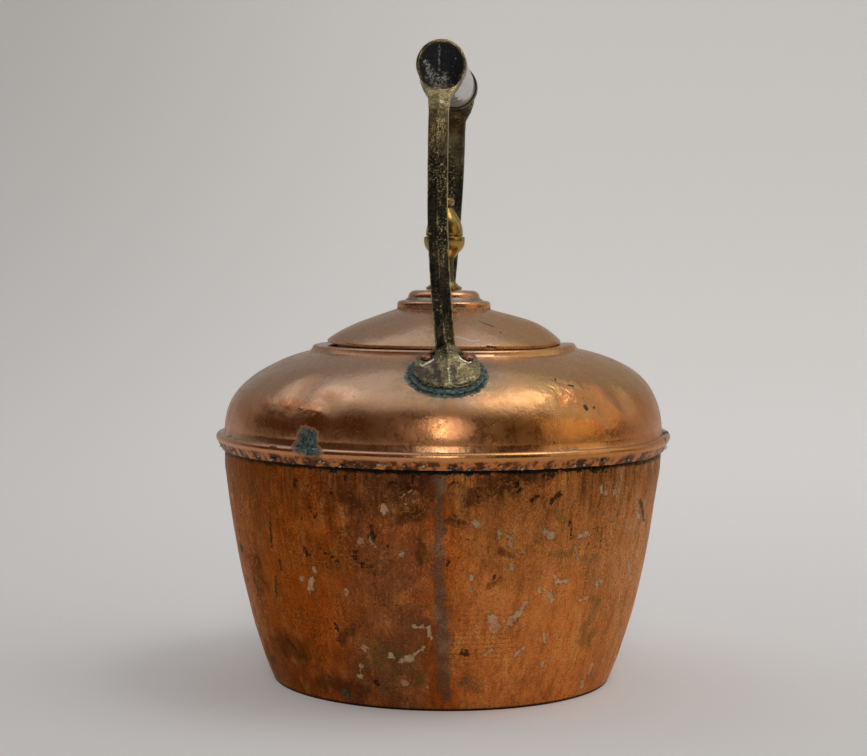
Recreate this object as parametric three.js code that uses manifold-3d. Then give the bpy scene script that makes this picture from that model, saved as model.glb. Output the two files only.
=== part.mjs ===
// Old copper tea kettle: tapered lower body, squashed shoulder, gooseneck spout, lift-off lid with an
// acorn finial, and a fixed handle of two cast brass brackets that hold a milk glass grip.
// Millimetres, +Z up. The origin is the middle of the base, and the spout points towards +Y.
import * as THREE from 'three';
import * as BufferGeometryUtils from 'three/addons/utils/BufferGeometryUtils.js';
import Module from 'manifold-3d';

const wasm = await Module();
wasm.setup();

// Sheet and clearances
const sheet = 1.0;
const seatGap = 0.3;
const holeClearance = 0.25;
const cutMargin = 2;

// Lower body: a wall curved between its base and the seam
const baseRadius = 75.6;
const bellyRadius = 90.25;
const bellyHeight = 33.15;
const wallTopRadius = 97.8;
const wallTopHeight = 95.7;
const flangeLength = 3.4;

// Base plate, let in flush with its edge turned up inside the wall
const basePlateThickness = 1.2;
const basePlateCorner = 1.5;
const basePlateUpturn = 8;

// Folded seam: the shoulder's edge is rolled over the flange of the body and closed under it
const foldOverhang = 1.4;
const foldRise = 7.3;
const foldTipRadius = wallTopRadius + foldOverhang;
const foldTipHeight = wallTopHeight + foldRise;
const beadOverhang = 0.7;
const beadRise = 5.5;
const beadCentreRadius = foldTipRadius + beadOverhang;
const beadCentreHeight = foldTipHeight + beadRise;
const beadRadius = 2.1;
const beadStartDegrees = -50;
const beadEndDegrees = 115;

// Shoulder
const shoulderInset = 1.8;
const shoulderFootRise = 4.1;
const shoulderFootRadius = beadCentreRadius - shoulderInset;
const shoulderFootHeight = beadCentreHeight + shoulderFootRise;
const shoulderLean = 0.4;
const shoulderTurnRise = 12.9;
const shoulderCrownInset = 6.6;
const shoulderCrownRise = 12.5;
const shoulderTurnHeight = shoulderFootHeight + shoulderTurnRise;
const shoulderCrownRadius = shoulderFootRadius - shoulderCrownInset;
const shoulderCrownHeight = shoulderTurnHeight + shoulderCrownRise;

// Mouth: a neck with a flat ledge for the lid, and a raised ring round it
const neckRadius = 48.6;
const neckDepth = 8;
const neckCorner = 1.4;
const lidOverhang = 3.9;
const lidRimRadius = neckRadius + lidOverhang;
const mouthRingMargin = 5.1;
const mouthRingRise = 10;
const mouthRingRadius = lidRimRadius + mouthRingMargin;
const mouthRingHeight = shoulderCrownHeight + mouthRingRise;
const mouthRingBead = 1.5;
const mouthRingFillet = 1;
const mouthRingLead = 1.2;
const ledgeRise = 1.2;
const ledgeHeight = mouthRingHeight + ledgeRise;

// Lid: a low dome with a stepped boss in its middle
const lidRimDepth = 1.5;
const lidCrownInset = 9.5;
const lidCrownRise = 7.6;
const bossRadius = 21;
const bossFootRise = 14.6;
const bossStepHeight = 3.7;
const bossLedge = 4.8;
const bossSlope = 0.5;
const bossTopHeight = 4.1;
const bossRounding = 1.7;
const skirtThickness = 0.8;
const skirtGap = 0.5;
const skirtDepth = 8.2;

// Finial: foot, stem, cup, nut and knob, with a riveted tang below
const finialFootRadius = 8.1;
const finialFootThickness = 1.2;
const finialFootFlare = 1.8;
const finialStemRadius = 4.2;
const finialStemHeight = 15;
const finialStemFlare = 3.5;
const finialCupRadius = 9.2;
const finialCupHeight = 9.2;
const finialCupRim = 0.8;
const finialNutInset = 0.9;
const finialNutHeight = 13;
const finialKnobRadius = 4.4;
const finialKnobHeight = 4.2;
const finialStemShare = 0.43;
const finialWaistShare = 0.3;
const finialNutShare = 0.6;
const finialKnobShare = 0.48;
const tangRadius = 2.3;
const finialWasherRadius = 6;
const finialWasherThickness = 1;
const rivetedEndHeight = 1.4;
const rivetedEndOverhang = 1.1;

// Spout: centre line in the plane of the handle, as distances out of the wall and heights
const spoutRootHeight = 40;
const spoutInset = 24;
const spoutFlareOut = 48.4;
const spoutFlareHeight = 52;
const spoutNeckOut = 26.4;
const spoutNeckHeight = 138;
const spoutMouthOut = 68.4;
const spoutMouthHeight = 156;
const spoutRootHalfHeight = 24;
const spoutRootHalfWidth = 19;
const spoutMouthRadius = 9.2;
const spoutTaperPower = 1.9;
const spoutFlange = 4.5;
const spoutLip = 0.8;
const spoutLipStart = 0.94;
const spoutFlangeEnd = 0.4;
const spoutBoreStart = -0.02;
const spoutBoreEnd = 1.04;
const waterwayEnd = 0.3;
const waterwayHalfHeight = 17;
const waterwayHalfWidth = 13;

// Grip: a glass tube held by a rod and two ferrules between the discs of the brackets
const handRoom = 120;
const gripAxisHeight = ledgeHeight + handRoom;
const gripRadius = 9.7;
const gripLength = 99.2;
const gripRounding = 0.8;
const tieRodRadius = 3;
const tieRodEngagement = 2.8;
const gripBoreClearance = 1.2;
const gripBore = tieRodRadius + gripBoreClearance;
const ferruleWall = 0.5;
const ferruleBase = 0.8;
const ferruleGrip = 3;
const discOverhang = 0.9;
const discRadius = gripRadius + discOverhang;
const discThickness = 7;
const discChamfer = 0.5;
const dishRim = 1.2;
const dishRadius = discRadius - dishRim;
const dishDepth = 2.4;
const dishRidgeWidth = 1.8;
const dishRidgeHeight = 1.1;

// Feet of the handle, with the thin solder bed under each of them
const footRingMargin = 5.6;
const footLength = 24.4;
const footWidestLength = 15.8;
const footInnerReach = mouthRingRadius + footRingMargin;
const footTipReach = footInnerReach + footLength;
const footWidestReach = footInnerReach + footWidestLength;
const footHalfWidth = 13.85;
const footInnerHalfWidth = 11.2;
const footInnerCorner = 3;
const footTipFullness = 0.86;
const footTipDraw = 0.5;
const footEdgeThickness = 1.5;
const footBellHeight = 10.5;
const footBellSpread = 4.6;
const footBellPower = 1.15;
const footBellLength = 1.25;
const footRidge = 0.6;
const padThickness = 0.6;
const padMargin = 1.7;

// Bars of the handle: a ridged section that leans out from the foot and turns in to the disc
const barWidth = 8.4;
const barThickness = 4.4;
const barRidge = 1.1;
const barChamfer = 0.7;
const barFootLength = 4.8;
const barFootReach = footInnerReach + barFootLength;
const barLowerLean = 1.2;
const barLowerShare = 0.16;
const barMiddleLean = 4.2;
const barMiddleShare = 0.46;
const barFurthestLean = 5.2;
const barFurthestShare = 0.717;
const barTurnDrop = 15.4;
const barTurnOut = 2.2;
const barEndDrop = 6.2;
const barEndInset = 2.4;
const barFanWidth = 18;
const barFanShare = 0.86;

// The old handle stands pulled out of line: its grip is turned and shifted over its feet, and each bar
// reaches its full bend at its own share of the rise
const handleTurn = THREE.MathUtils.degToRad(-4.6);
const handleShift = 1.4;
const rearBendShare = 0.53;
const frontBendShare = 0.95;

// Rivets of the feet
const rivetLength = 5.2;
const rivetEdgeMargin = 5.4;
const rivetReach = footInnerReach + rivetLength;
const rivetSpacing = 2 * (footHalfWidth - rivetEdgeMargin);
const rivetHeadRadius = 2.9;
const rivetHeadHeight = 1.7;
const rivetShankRadius = 1.8;
const rivetSpread = 0.8;
const rivetEndHeight = 1.2;
const rivetEndChamfer = 0.5;
const spotFaceMargin = 0.8;
const spotFaceRadius = rivetHeadRadius + spotFaceMargin;
const spotFaceLevel = 1.9;
const burrWidth = 1.8;
const burrRadius = rivetShankRadius + burrWidth;
const burrThickness = 0.9;

// How finely the round forms are cut
const shellSegments = 40;
const lidSegments = 30;
const gripSegments = 28;
const smallSegments = 24;
const finialSegments = 16;
const rivetSegments = 10;
const spoutSides = 16;
const spoutSteps = 15;
const barSteps = 18;
const mergeDistance = 1e-4;

// Colours read from the object
const copper = { color: 0x9a5a2c, roughness: 0.45, metalness: 0.9 };
const shoulderCopper = { color: 0xa9794c, roughness: 0.35, metalness: 0.9 };
const rivetCopper = { color: 0xb5684a, roughness: 0.4, metalness: 0.9 };
const darkBrass = { color: 0x4a4030, roughness: 0.5, metalness: 0.85 };
const polishedBrass = { color: 0xb8913e, roughness: 0.3, metalness: 0.9 };
const milkGlass = { color: 0xdcdad6, roughness: 0.15, metalness: 0 };
const iron = { color: 0x5b5650, roughness: 0.6, metalness: 0.8 };
const solder = { color: 0x5f6f66, roughness: 0.7, metalness: 0.4 };

const kettle = new THREE.Group();

function point(radius, height) {
  return new THREE.Vector2(radius, height);
}

// Adds a named piece with its own material to a group.
function addPiece(parent, name, geometry, finish) {
  const mesh = new THREE.Mesh(geometry, new THREE.MeshStandardMaterial(finish));
  mesh.name = name;
  parent.add(mesh);
  return mesh;
}

// Twice the signed area of a closed outline.
function signedArea(outline) {
  let total = 0;
  outline.forEach((here, i) => {
    const next = outline[(i + 1) % outline.length];
    total += here.x * next.y - next.x * here.y;
  });
  return total;
}

// Turns a closed outline of radii and heights about the Z axis.
function turn(outline, segments) {
  const ordered = signedArea(outline) < 0 ? [...outline].reverse() : [...outline];
  const profile = [...ordered, ordered[0].clone()];
  const geometry = new THREE.LatheGeometry(profile, segments);
  geometry.rotateX(Math.PI / 2);
  return geometry;
}

// Turns an outline that starts and ends on the Z axis, given from its lower to its upper end.
function turnSolid(outline, segments) {
  const geometry = new THREE.LatheGeometry(outline, segments);
  geometry.rotateX(Math.PI / 2);
  return geometry;
}

// The line beside a line of sheet metal, to its left, at a given distance.
function besideLine(line, distance) {
  return line.map((here, i) => {
    const before = line[Math.max(i - 1, 0)];
    const after = line[Math.min(i + 1, line.length - 1)];
    const inward = here.clone().sub(before).normalize();
    const outward = after.clone().sub(here).normalize();
    if (i === 0) {
      inward.copy(outward);
    }
    if (i === line.length - 1) {
      outward.copy(inward);
    }
    const mean = inward.clone().add(outward).normalize();
    const left = point(-mean.y, mean.x);
    const cosine = Math.max(left.dot(point(-inward.y, inward.x)), 0.5);
    return here.clone().addScaledVector(left, distance / cosine);
  });
}

// The closed outline of a sheet whose outer face follows a line, with its metal to the left.
function sheetOutline(line, thickness) {
  return [...line, ...besideLine(line, thickness).reverse()];
}

// Points of an arc, by its angles in degrees.
function arc(centre, radius, startDegrees, endDegrees, steps) {
  return Array.from({ length: steps + 1 }, (_, i) => {
    const angle = THREE.MathUtils.degToRad(startDegrees + ((endDegrees - startDegrees) * i) / steps);
    return point(centre.x + radius * Math.cos(angle), centre.y + radius * Math.sin(angle));
  });
}

// Height of a falling line of points at a radius.
function heightAt(line, radius) {
  for (let i = 1; i < line.length; i += 1) {
    const [a, b] = [line[i - 1], line[i]];
    if ((radius - a.x) * (radius - b.x) <= 0 && a.x !== b.x) {
      return a.y + ((b.y - a.y) * (radius - a.x)) / (b.x - a.x);
    }
  }
  return radius < line[line.length - 1].x ? line[line.length - 1].y : line[0].y;
}

// A mesh from points and triangles, with its faces turned outwards.
function closedMesh(points, triangles) {
  let volume = 0;
  for (let i = 0; i < triangles.length; i += 3) {
    const [a, b, c] = [points[triangles[i]], points[triangles[i + 1]], points[triangles[i + 2]]];
    volume += a.dot(b.clone().cross(c));
  }
  const ordered = volume < 0 ? [...triangles].reverse() : triangles;
  const geometry = new THREE.BufferGeometry();
  const positions = points.flatMap((here) => [here.x, here.y, here.z]);
  geometry.setAttribute('position', new THREE.Float32BufferAttribute(positions, 3));
  geometry.setIndex(ordered);
  return geometry;
}

// A closed solid through rings with the same number of points, with flat ends.
function loft(rings) {
  const count = rings[0].length;
  const points = rings.flat();
  const triangles = [];
  for (let r = 0; r + 1 < rings.length; r += 1) {
    for (let i = 0; i < count; i += 1) {
      const [a, b] = [r * count + i, r * count + ((i + 1) % count)];
      triangles.push(a, b, a + count, b, b + count, a + count);
    }
  }
  const ends = [rings[0], rings[rings.length - 1]];
  ends.forEach((ring, end) => {
    const middle = new THREE.Vector3();
    ring.forEach((here) => middle.addScaledVector(here, 1 / count));
    const centre = points.push(middle) - 1;
    const first = end === 0 ? 0 : (rings.length - 1) * count;
    for (let i = 0; i < count; i += 1) {
      const [a, b] = [first + i, first + ((i + 1) % count)];
      triangles.push(...(end === 0 ? [centre, b, a] : [centre, a, b]));
    }
  });
  return closedMesh(points, triangles);
}

// A closed mesh as a solid that can be joined and cut.
function toSolid(geometry) {
  const bare = geometry.clone();
  bare.deleteAttribute('normal');
  bare.deleteAttribute('uv');
  const merged = BufferGeometryUtils.mergeVertices(bare, mergeDistance);
  const index = merged.index.array;
  const triangles = [];
  for (let i = 0; i < index.length; i += 3) {
    const [a, b, c] = [index[i], index[i + 1], index[i + 2]];
    if (a !== b && b !== c && c !== a) {
      triangles.push(a, b, c);
    }
  }
  return new wasm.Manifold(new wasm.Mesh({
    numProp: 3,
    vertProperties: new Float32Array(merged.attributes.position.array),
    triVerts: new Uint32Array(triangles),
  }));
}

// A joined or cut solid as a mesh.
function fromSolid(solid) {
  const mesh = solid.getMesh();
  const geometry = new THREE.BufferGeometry();
  geometry.setAttribute('position', new THREE.Float32BufferAttribute(mesh.vertProperties, 3));
  geometry.setIndex([...mesh.triVerts]);
  return geometry;
}

// A round form along the Y axis, from an outline of radii and distances along it.
function turnAlongY(outline, segments) {
  return new THREE.LatheGeometry(outline, segments);
}

// Outer line of the body's wall, from the base up to the end of its flange.
function wallLine() {
  const curve = new THREE.QuadraticBezierCurve(
    point(baseRadius, 0),
    point(bellyRadius, bellyHeight),
    point(wallTopRadius, wallTopHeight),
  );
  const { start, direction } = flangeSeat();
  return [...curve.getPoints(5), start, start.clone().addScaledVector(direction, flangeLength)];
}

// Where the body's flange lies inside the fold of the shoulder.
function flangeSeat() {
  const tip = point(foldTipRadius, foldTipHeight);
  const direction = foldCrease().sub(tip).normalize();
  const inward = point(-direction.y, direction.x);
  return { start: tip.addScaledVector(inward, sheet + seatGap), direction };
}

// Where the fold leaves the rolled bead.
function foldCrease() {
  const angle = THREE.MathUtils.degToRad(beadStartDegrees);
  return point(
    beadCentreRadius + beadRadius * Math.cos(angle),
    beadCentreHeight + beadRadius * Math.sin(angle),
  );
}

// Outer line of the shoulder alone, from above the bead to the mouth ring.
function shoulderCurve() {
  const curve = new THREE.CubicBezierCurve(
    point(shoulderFootRadius, shoulderFootHeight),
    point(shoulderFootRadius - shoulderLean, shoulderTurnHeight),
    point(shoulderCrownRadius, shoulderCrownHeight),
    point(mouthRingRadius + mouthRingBead + mouthRingFillet, mouthRingHeight - mouthRingLead),
  );
  return curve.getPoints(7);
}

// Outer line of the whole shoulder sheet, from the tip of its fold to the lower edge of its neck.
function shoulderLine() {
  const beadCentre = point(beadCentreRadius, beadCentreHeight);
  const bead = arc(beadCentre, beadRadius, beadStartDegrees, beadEndDegrees, 4);
  const ring = arc(point(mouthRingRadius, mouthRingHeight), mouthRingBead, 10, 120, 3);
  const cornerCentre = point(neckRadius + neckCorner, ledgeHeight - neckCorner);
  const neckTurn = arc(cornerCentre, neckCorner, 90, 180, 2);
  return [
    point(foldTipRadius, foldTipHeight),
    ...bead,
    ...shoulderCurve(),
    ...ring,
    point(mouthRingRadius - mouthRingBead - mouthRingFillet, ledgeHeight),
    ...neckTurn,
    point(neckRadius, ledgeHeight - neckDepth),
  ];
}

const shoulderTop = shoulderCurve();

// Height of the shoulder's outer face over a point of the plan.
function shoulderHeight(x, y) {
  return heightAt(shoulderTop, Math.hypot(x, y));
}

// The inside of the shoulder's outer face as a solid, swollen by a gap.
function shoulderEnvelope(gap) {
  const line = besideLine(shoulderTop, -gap);
  const closed = [point(0, line[0].y), ...line, point(0, line[line.length - 1].y)];
  return toSolid(turnSolid(closed, shellSegments));
}

// Outline of a foot seen from above, with a margin round its sides and tip.
function footOutline(margin) {
  const halfWidth = footHalfWidth + margin;
  const tip = footTipReach + margin;
  const tipSide = halfWidth * footTipFullness;
  const shape = new THREE.Shape();
  shape.moveTo(-footInnerHalfWidth, footInnerReach);
  shape.lineTo(footInnerHalfWidth, footInnerReach);
  shape.quadraticCurveTo(halfWidth, footInnerReach + footInnerCorner, halfWidth, footWidestReach);
  shape.quadraticCurveTo(tipSide, tip - footTipDraw, 0, tip);
  shape.quadraticCurveTo(-tipSide, tip - footTipDraw, -halfWidth, footWidestReach);
  shape.quadraticCurveTo(-halfWidth, footInnerReach + footInnerCorner, -footInnerHalfWidth, footInnerReach);
  return shape.getPoints(5).slice(0, -1);
}

// A plate with a given outline, between two height functions of x and y.
function plate(outline, centre, topRings, bottomRings, topHeight, bottomHeight) {
  const points = [];
  const triangles = [];
  const count = outline.length;
  const addFace = (rings, height) => {
    const middle = points.push(new THREE.Vector3(centre.x, centre.y, height(centre.x, centre.y))) - 1;
    for (let r = 1; r <= rings; r += 1) {
      outline.forEach((corner) => {
        const here = centre.clone().lerp(corner, r / rings);
        points.push(new THREE.Vector3(here.x, here.y, height(here.x, here.y)));
      });
    }
    const at = (r, i) => middle + 1 + (r - 1) * count + (i % count);
    const face = [];
    for (let i = 0; i < count; i += 1) {
      face.push([middle, at(1, i), at(1, i + 1)]);
      for (let r = 1; r < rings; r += 1) {
        face.push([at(r, i), at(r + 1, i), at(r + 1, i + 1)]);
        face.push([at(r, i), at(r + 1, i + 1), at(r, i + 1)]);
      }
    }
    return { face, rim: (i) => at(rings, i) };
  };
  const top = addFace(topRings, topHeight);
  const bottom = addFace(bottomRings, bottomHeight);
  top.face.forEach(([a, b, c]) => triangles.push(a, b, c));
  bottom.face.forEach(([a, b, c]) => triangles.push(a, c, b));
  for (let i = 0; i < count; i += 1) {
    triangles.push(top.rim(i), bottom.rim(i), bottom.rim(i + 1));
    triangles.push(top.rim(i), bottom.rim(i + 1), top.rim(i + 1));
  }
  return closedMesh(points, triangles);
}

// Level of the underside of a foot over the shoulder.
const footUnderside = seatGap + padThickness + seatGap;

// Thickness of a foot: a thin edge that swells like a bell into the bar, with a ridge down to the tip.
function footThickness(x, y) {
  const distance = Math.hypot(x, (y - barFootReach) / footBellLength);
  const bell = footBellHeight * Math.exp(-((distance / footBellSpread) ** footBellPower));
  const ridge = Math.abs(x) < mergeDistance && y > barFootReach ? footRidge : 0;
  return footEdgeThickness + bell + ridge;
}

// Height at which the bars leave the feet, and from there up to the grip's axis
const barFootHeight = shoulderHeight(0, barFootReach) + footUnderside;
const barRise = gripAxisHeight - barFootHeight;

// Share of its bend that a bar has reached at a height.
function bendShare(height, side) {
  const fullBend = barRise * (side < 0 ? rearBendShare : frontBendShare);
  const share = THREE.MathUtils.clamp((height - barFootHeight) / fullBend, 0, 1);
  return Math.sin((share * Math.PI) / 2);
}

// Where the bent handle has carried a point.
function bent(here, side) {
  const share = bendShare(here.z, side);
  const turned = here.clone().applyAxisAngle(new THREE.Vector3(0, 0, 1), handleTurn * share);
  turned.x += handleShift * share * side;
  return turned;
}

// Distances along the grip's axis, from its middle
const ferruleInner = gripLength / 2 + seatGap;
const discInner = ferruleInner + ferruleBase + seatGap;
const discOuter = discInner + discThickness;

// Bar of a bracket, from its foot up to its fan in the disc.
function barGeometry(side) {
  const onBar = (lean, share) => (
    new THREE.Vector3(0, barFootReach + lean, barFootHeight + barRise * share)
  );
  const turnReach = (barFootReach + barFurthestLean + discOuter) / 2 + barTurnOut;
  const route = new THREE.CatmullRomCurve3([
    new THREE.Vector3(0, barFootReach, barFootHeight + footEdgeThickness / 2),
    onBar(barLowerLean, barLowerShare),
    onBar(barMiddleLean, barMiddleShare),
    onBar(barFurthestLean, barFurthestShare),
    new THREE.Vector3(0, turnReach, gripAxisHeight - barTurnDrop),
    new THREE.Vector3(0, discOuter - barEndInset, gripAxisHeight - barEndDrop),
  ]);
  const half = barThickness / 2;
  const rings = Array.from({ length: barSteps + 1 }, (_, i) => {
    const share = i / barSteps;
    const middle = route.getPointAt(share);
    const tangent = route.getTangentAt(share);
    const outward = new THREE.Vector3(0, tangent.z, -tangent.y);
    const fan = THREE.MathUtils.smoothstep(share, barFanShare, 1);
    const halfWidth = THREE.MathUtils.lerp(barWidth, barFanWidth, fan) / 2;
    const section = [
      [-halfWidth + barChamfer, -half],
      [halfWidth - barChamfer, -half],
      [halfWidth, -half + barChamfer],
      [halfWidth, half - barRidge],
      [0, half],
      [-halfWidth, half - barRidge],
      [-halfWidth, -half + barChamfer],
    ];
    return section.map(([across, out]) => {
      const here = middle.clone().addScaledVector(outward, out);
      here.x += across;
      return bent(here, side);
    });
  });
  return loft(rings);
}

// Moves a solid that was made round the Y axis at the origin to the bent handle's grip axis.
function placeAtGrip(geometry, side) {
  geometry.translate(0, 0, gripAxisHeight);
  geometry.rotateZ(handleTurn);
  geometry.translate(handleShift * side, 0, 0);
  return geometry;
}

// Disc at the end of the grip.
function discGeometry() {
  return turnAlongY([
    point(0, discInner),
    point(discRadius - discChamfer, discInner),
    point(discRadius, discInner + discChamfer),
    point(discRadius, discOuter - discChamfer),
    point(discRadius - discChamfer, discOuter),
    point(0, discOuter),
  ], smallSegments);
}

// What the dish takes out of the disc and of the bar's end.
function dishCutter() {
  const sphere = (dishRadius ** 2 + dishDepth ** 2) / (2 * dishDepth);
  const half = THREE.MathUtils.radToDeg(Math.asin(dishRadius / sphere));
  const bowl = arc(point(0, discOuter - dishDepth + sphere), sphere, -90, -90 + half, 4);
  return turnAlongY([
    ...bowl.slice(0, -1),
    point(dishRadius, discOuter),
    point(dishRadius, discOuter + 2 * barThickness),
    point(0, discOuter + 2 * barThickness),
  ], smallSegments);
}

// Ridge that carries the bar's ridge up through the dish.
function dishRidge() {
  const floor = discOuter - dishDepth;
  const shape = new THREE.Shape();
  shape.moveTo(-dishRidgeWidth / 2, floor - dishRidgeHeight / 2);
  shape.lineTo(dishRidgeWidth / 2, floor - dishRidgeHeight / 2);
  shape.lineTo(0, floor + dishRidgeHeight);
  const length = discRadius + dishRadius;
  const geometry = new THREE.ExtrudeGeometry(shape, { depth: length, bevelEnabled: false });
  geometry.translate(0, 0, -length / 2);
  return geometry;
}

// Blind hole for the end of the tie rod.
function tieRodHole() {
  return turnAlongY([
    point(0, discInner - cutMargin),
    point(tieRodRadius + holeClearance, discInner - cutMargin),
    point(tieRodRadius + holeClearance, discInner + tieRodEngagement + seatGap),
    point(0, discInner + tieRodEngagement + seatGap),
  ], smallSegments);
}

// Slope of the shoulder under the rivets, as the tilt of the rivets' axis away from upright.
const rivetTilt = Math.atan2(
  shoulderHeight(0, rivetReach - rivetHeadRadius) - shoulderHeight(0, rivetReach + rivetHeadRadius),
  2 * rivetHeadRadius,
);

// Puts a solid made upright at the origin onto the shoulder, along the axis of a rivet.
function placeAtRivet(geometry, across) {
  geometry.rotateX(-rivetTilt);
  geometry.translate(across, rivetReach, shoulderHeight(across, rivetReach));
  return geometry;
}

// Levels along a rivet's axis, from the outer face of the shoulder
const spotFace = footUnderside + spotFaceLevel;
const burrTop = -sheet - seatGap;
const burrBottom = burrTop - burrThickness;

// A round hole through the sheets under a rivet.
function rivetHole(across, bottom, top, radius) {
  const outline = [point(0, bottom), point(radius, bottom), point(radius, top), point(0, top)];
  return toSolid(placeAtRivet(turnSolid(outline, rivetSegments), across));
}

// Both holes of one foot, through all that the rivets join.
function rivetHoles() {
  const radius = rivetShankRadius + holeClearance;
  const [left, right] = [-1, 1].map((sign) => (
    rivetHole((sign * rivetSpacing) / 2, -sheet - 2 * cutMargin, spotFace + cutMargin, radius)
  ));
  return left.add(right);
}

// Both spot faces of one foot, open above.
function spotFaces() {
  const [left, right] = [-1, 1].map((sign) => (
    rivetHole((sign * rivetSpacing) / 2, spotFace, 3 * footBellHeight, spotFaceRadius)
  ));
  return left.add(right);
}

// One cast bracket: foot, bar and dished disc in a piece. Side is 1 at the spout and -1 at the back.
function bracket(side) {
  const under = (x, y) => shoulderHeight(x, y) - cutMargin;
  const over = (x, y) => shoulderHeight(x, y) + footUnderside + footThickness(x, y);
  const slab = toSolid(plate(footOutline(0), point(0, barFootReach), 5, 1, over, under));
  const foot = slab.subtract(shoulderEnvelope(footUnderside));
  const disc = toSolid(placeAtGrip(discGeometry(), side));
  const dish = toSolid(placeAtGrip(dishCutter(), side));
  const ridge = toSolid(placeAtGrip(dishRidge(), side));
  const hole = toSolid(placeAtGrip(tieRodHole(), side));
  const casting = foot.add(toSolid(barGeometry(side))).add(disc);
  const finished = casting.subtract(dish).add(ridge.intersect(disc)).subtract(hole);
  return fromSolid(finished.subtract(spotFaces()).subtract(rivetHoles()));
}

// Thin bed of solder between a foot and the shoulder.
function footPad() {
  const outline = new THREE.Shape(footOutline(padMargin));
  const depth = 2 * (mouthRingHeight - shoulderFootHeight);
  const block = toSolid(new THREE.ExtrudeGeometry(outline, { depth, bevelEnabled: false }));
  const layer = shoulderEnvelope(seatGap + padThickness).subtract(shoulderEnvelope(seatGap));
  const bed = block.translate(0, 0, shoulderFootHeight).intersect(layer);
  return fromSolid(bed.subtract(rivetHoles()));
}

// Rivet with a domed head in the spot face and a spread end inside the kettle.
function rivet(across) {
  const headSeat = spotFace + seatGap;
  const spreadTop = burrBottom - seatGap;
  const spreadRadius = rivetShankRadius + rivetSpread;
  const head = arc(point(0, 0), 1, 0, 90, 3).map((here) => (
    point(here.x * rivetHeadRadius, headSeat + here.y * rivetHeadHeight)
  ));
  head[head.length - 1].x = 0;
  return placeAtRivet(turnSolid([
    point(0, spreadTop - rivetEndHeight),
    point(spreadRadius - rivetEndChamfer, spreadTop - rivetEndHeight),
    point(spreadRadius, spreadTop - rivetEndChamfer),
    point(spreadRadius, spreadTop),
    point(rivetShankRadius, spreadTop),
    point(rivetShankRadius, headSeat),
    ...head,
  ], rivetSegments), across);
}

// Washer under the spread end of a rivet.
function burr(across) {
  const bore = rivetShankRadius + holeClearance;
  return placeAtRivet(turn([
    point(bore, burrBottom),
    point(burrRadius, burrBottom),
    point(burrRadius, burrTop),
    point(bore, burrTop),
  ], rivetSegments), across);
}

// Ends of the handle: brackets, solder beds, rivets and washers.
function addHandleEnds() {
  const ends = [
    { name: 'rear', side: -1 },
    { name: 'front', side: 1 },
  ];
  ends.forEach(({ name, side }) => {
    const end = new THREE.Group();
    end.rotation.z = side < 0 ? Math.PI : 0;
    kettle.add(end);
    addPiece(end, `${name}_bracket`, bracket(side), darkBrass);
    addPiece(end, `${name}_foot_pad`, footPad(), solder);
    [-1, 1].forEach((sign) => {
      const across = (sign * rivetSpacing) / 2;
      const hand = sign * side < 0 ? 'left' : 'right';
      addPiece(end, `${name}_rivet_${hand}`, rivet(across), rivetCopper);
      addPiece(end, `${name}_burr_${hand}`, burr(across), rivetCopper);
    });
  });
}

// Milk glass grip, its ferrules and the rod that ties the brackets together.
function addGrip() {
  const assembly = new THREE.Group();
  assembly.position.set(handleShift, 0, gripAxisHeight);
  assembly.rotation.z = handleTurn;
  kettle.add(assembly);
  const half = gripLength / 2;
  const glass = [
    point(gripBore, -half),
    point(gripRadius - gripRounding, -half),
    point(gripRadius, -half + gripRounding),
    point(gripRadius, half - gripRounding),
    point(gripRadius - gripRounding, half),
    point(gripBore, half),
  ];
  addPiece(assembly, 'grip', turnAlongY(closeAnticlockwise(glass), gripSegments), milkGlass);
  const rodEnd = discInner + tieRodEngagement;
  addPiece(assembly, 'tie_rod', turnAlongY([
    point(0, -rodEnd),
    point(tieRodRadius, -rodEnd),
    point(tieRodRadius, rodEnd),
    point(0, rodEnd),
  ], rivetSegments), iron);
  const inner = gripRadius + seatGap;
  const outer = inner + ferruleWall;
  const base = ferruleInner + ferruleBase;
  const cup = [
    point(tieRodRadius + holeClearance, ferruleInner),
    point(inner, ferruleInner),
    point(inner, ferruleInner - ferruleGrip),
    point(outer, ferruleInner - ferruleGrip),
    point(outer, base),
    point(tieRodRadius + holeClearance, base),
  ];
  const ferrule = () => turnAlongY(closeAnticlockwise(cup), smallSegments);
  addPiece(assembly, 'front_ferrule', ferrule(), polishedBrass);
  addPiece(assembly, 'rear_ferrule', ferrule(), polishedBrass).rotation.z = Math.PI;
}

// A closed outline that runs anticlockwise and ends where it starts.
function closeAnticlockwise(outline) {
  const ordered = signedArea(outline) < 0 ? [...outline].reverse() : [...outline];
  return [...ordered, ordered[0].clone()];
}

// Centre line of the spout.
function spoutRoute() {
  const wall = heightAt(wallLine().map((here) => point(here.y, here.x)), spoutRootHeight);
  return new THREE.CubicBezierCurve3(
    new THREE.Vector3(0, wall - spoutInset, spoutRootHeight),
    new THREE.Vector3(0, wall + spoutFlareOut, spoutFlareHeight),
    new THREE.Vector3(0, wall + spoutNeckOut, spoutNeckHeight),
    new THREE.Vector3(0, wall + spoutMouthOut, spoutMouthHeight),
  );
}

// A solid along the spout's centre line, with half heights and half widths by place on the line.
function alongSpout(from, to, steps, halfHeight, halfWidth) {
  const route = spoutRoute();
  const rings = Array.from({ length: steps + 1 }, (_, i) => {
    const place = from + ((to - from) * i) / steps;
    const middle = route.getPoint(place);
    const tangent = route.getTangent(THREE.MathUtils.clamp(place, 0, 1));
    const upward = new THREE.Vector3(0, -tangent.z, tangent.y);
    return Array.from({ length: spoutSides }, (__, k) => {
      const angle = (2 * Math.PI * k) / spoutSides;
      const here = middle.clone().addScaledVector(upward, halfHeight(place) * Math.cos(angle));
      here.x += halfWidth(place) * Math.sin(angle);
      return here;
    });
  });
  return toSolid(loft(rings));
}

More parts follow.
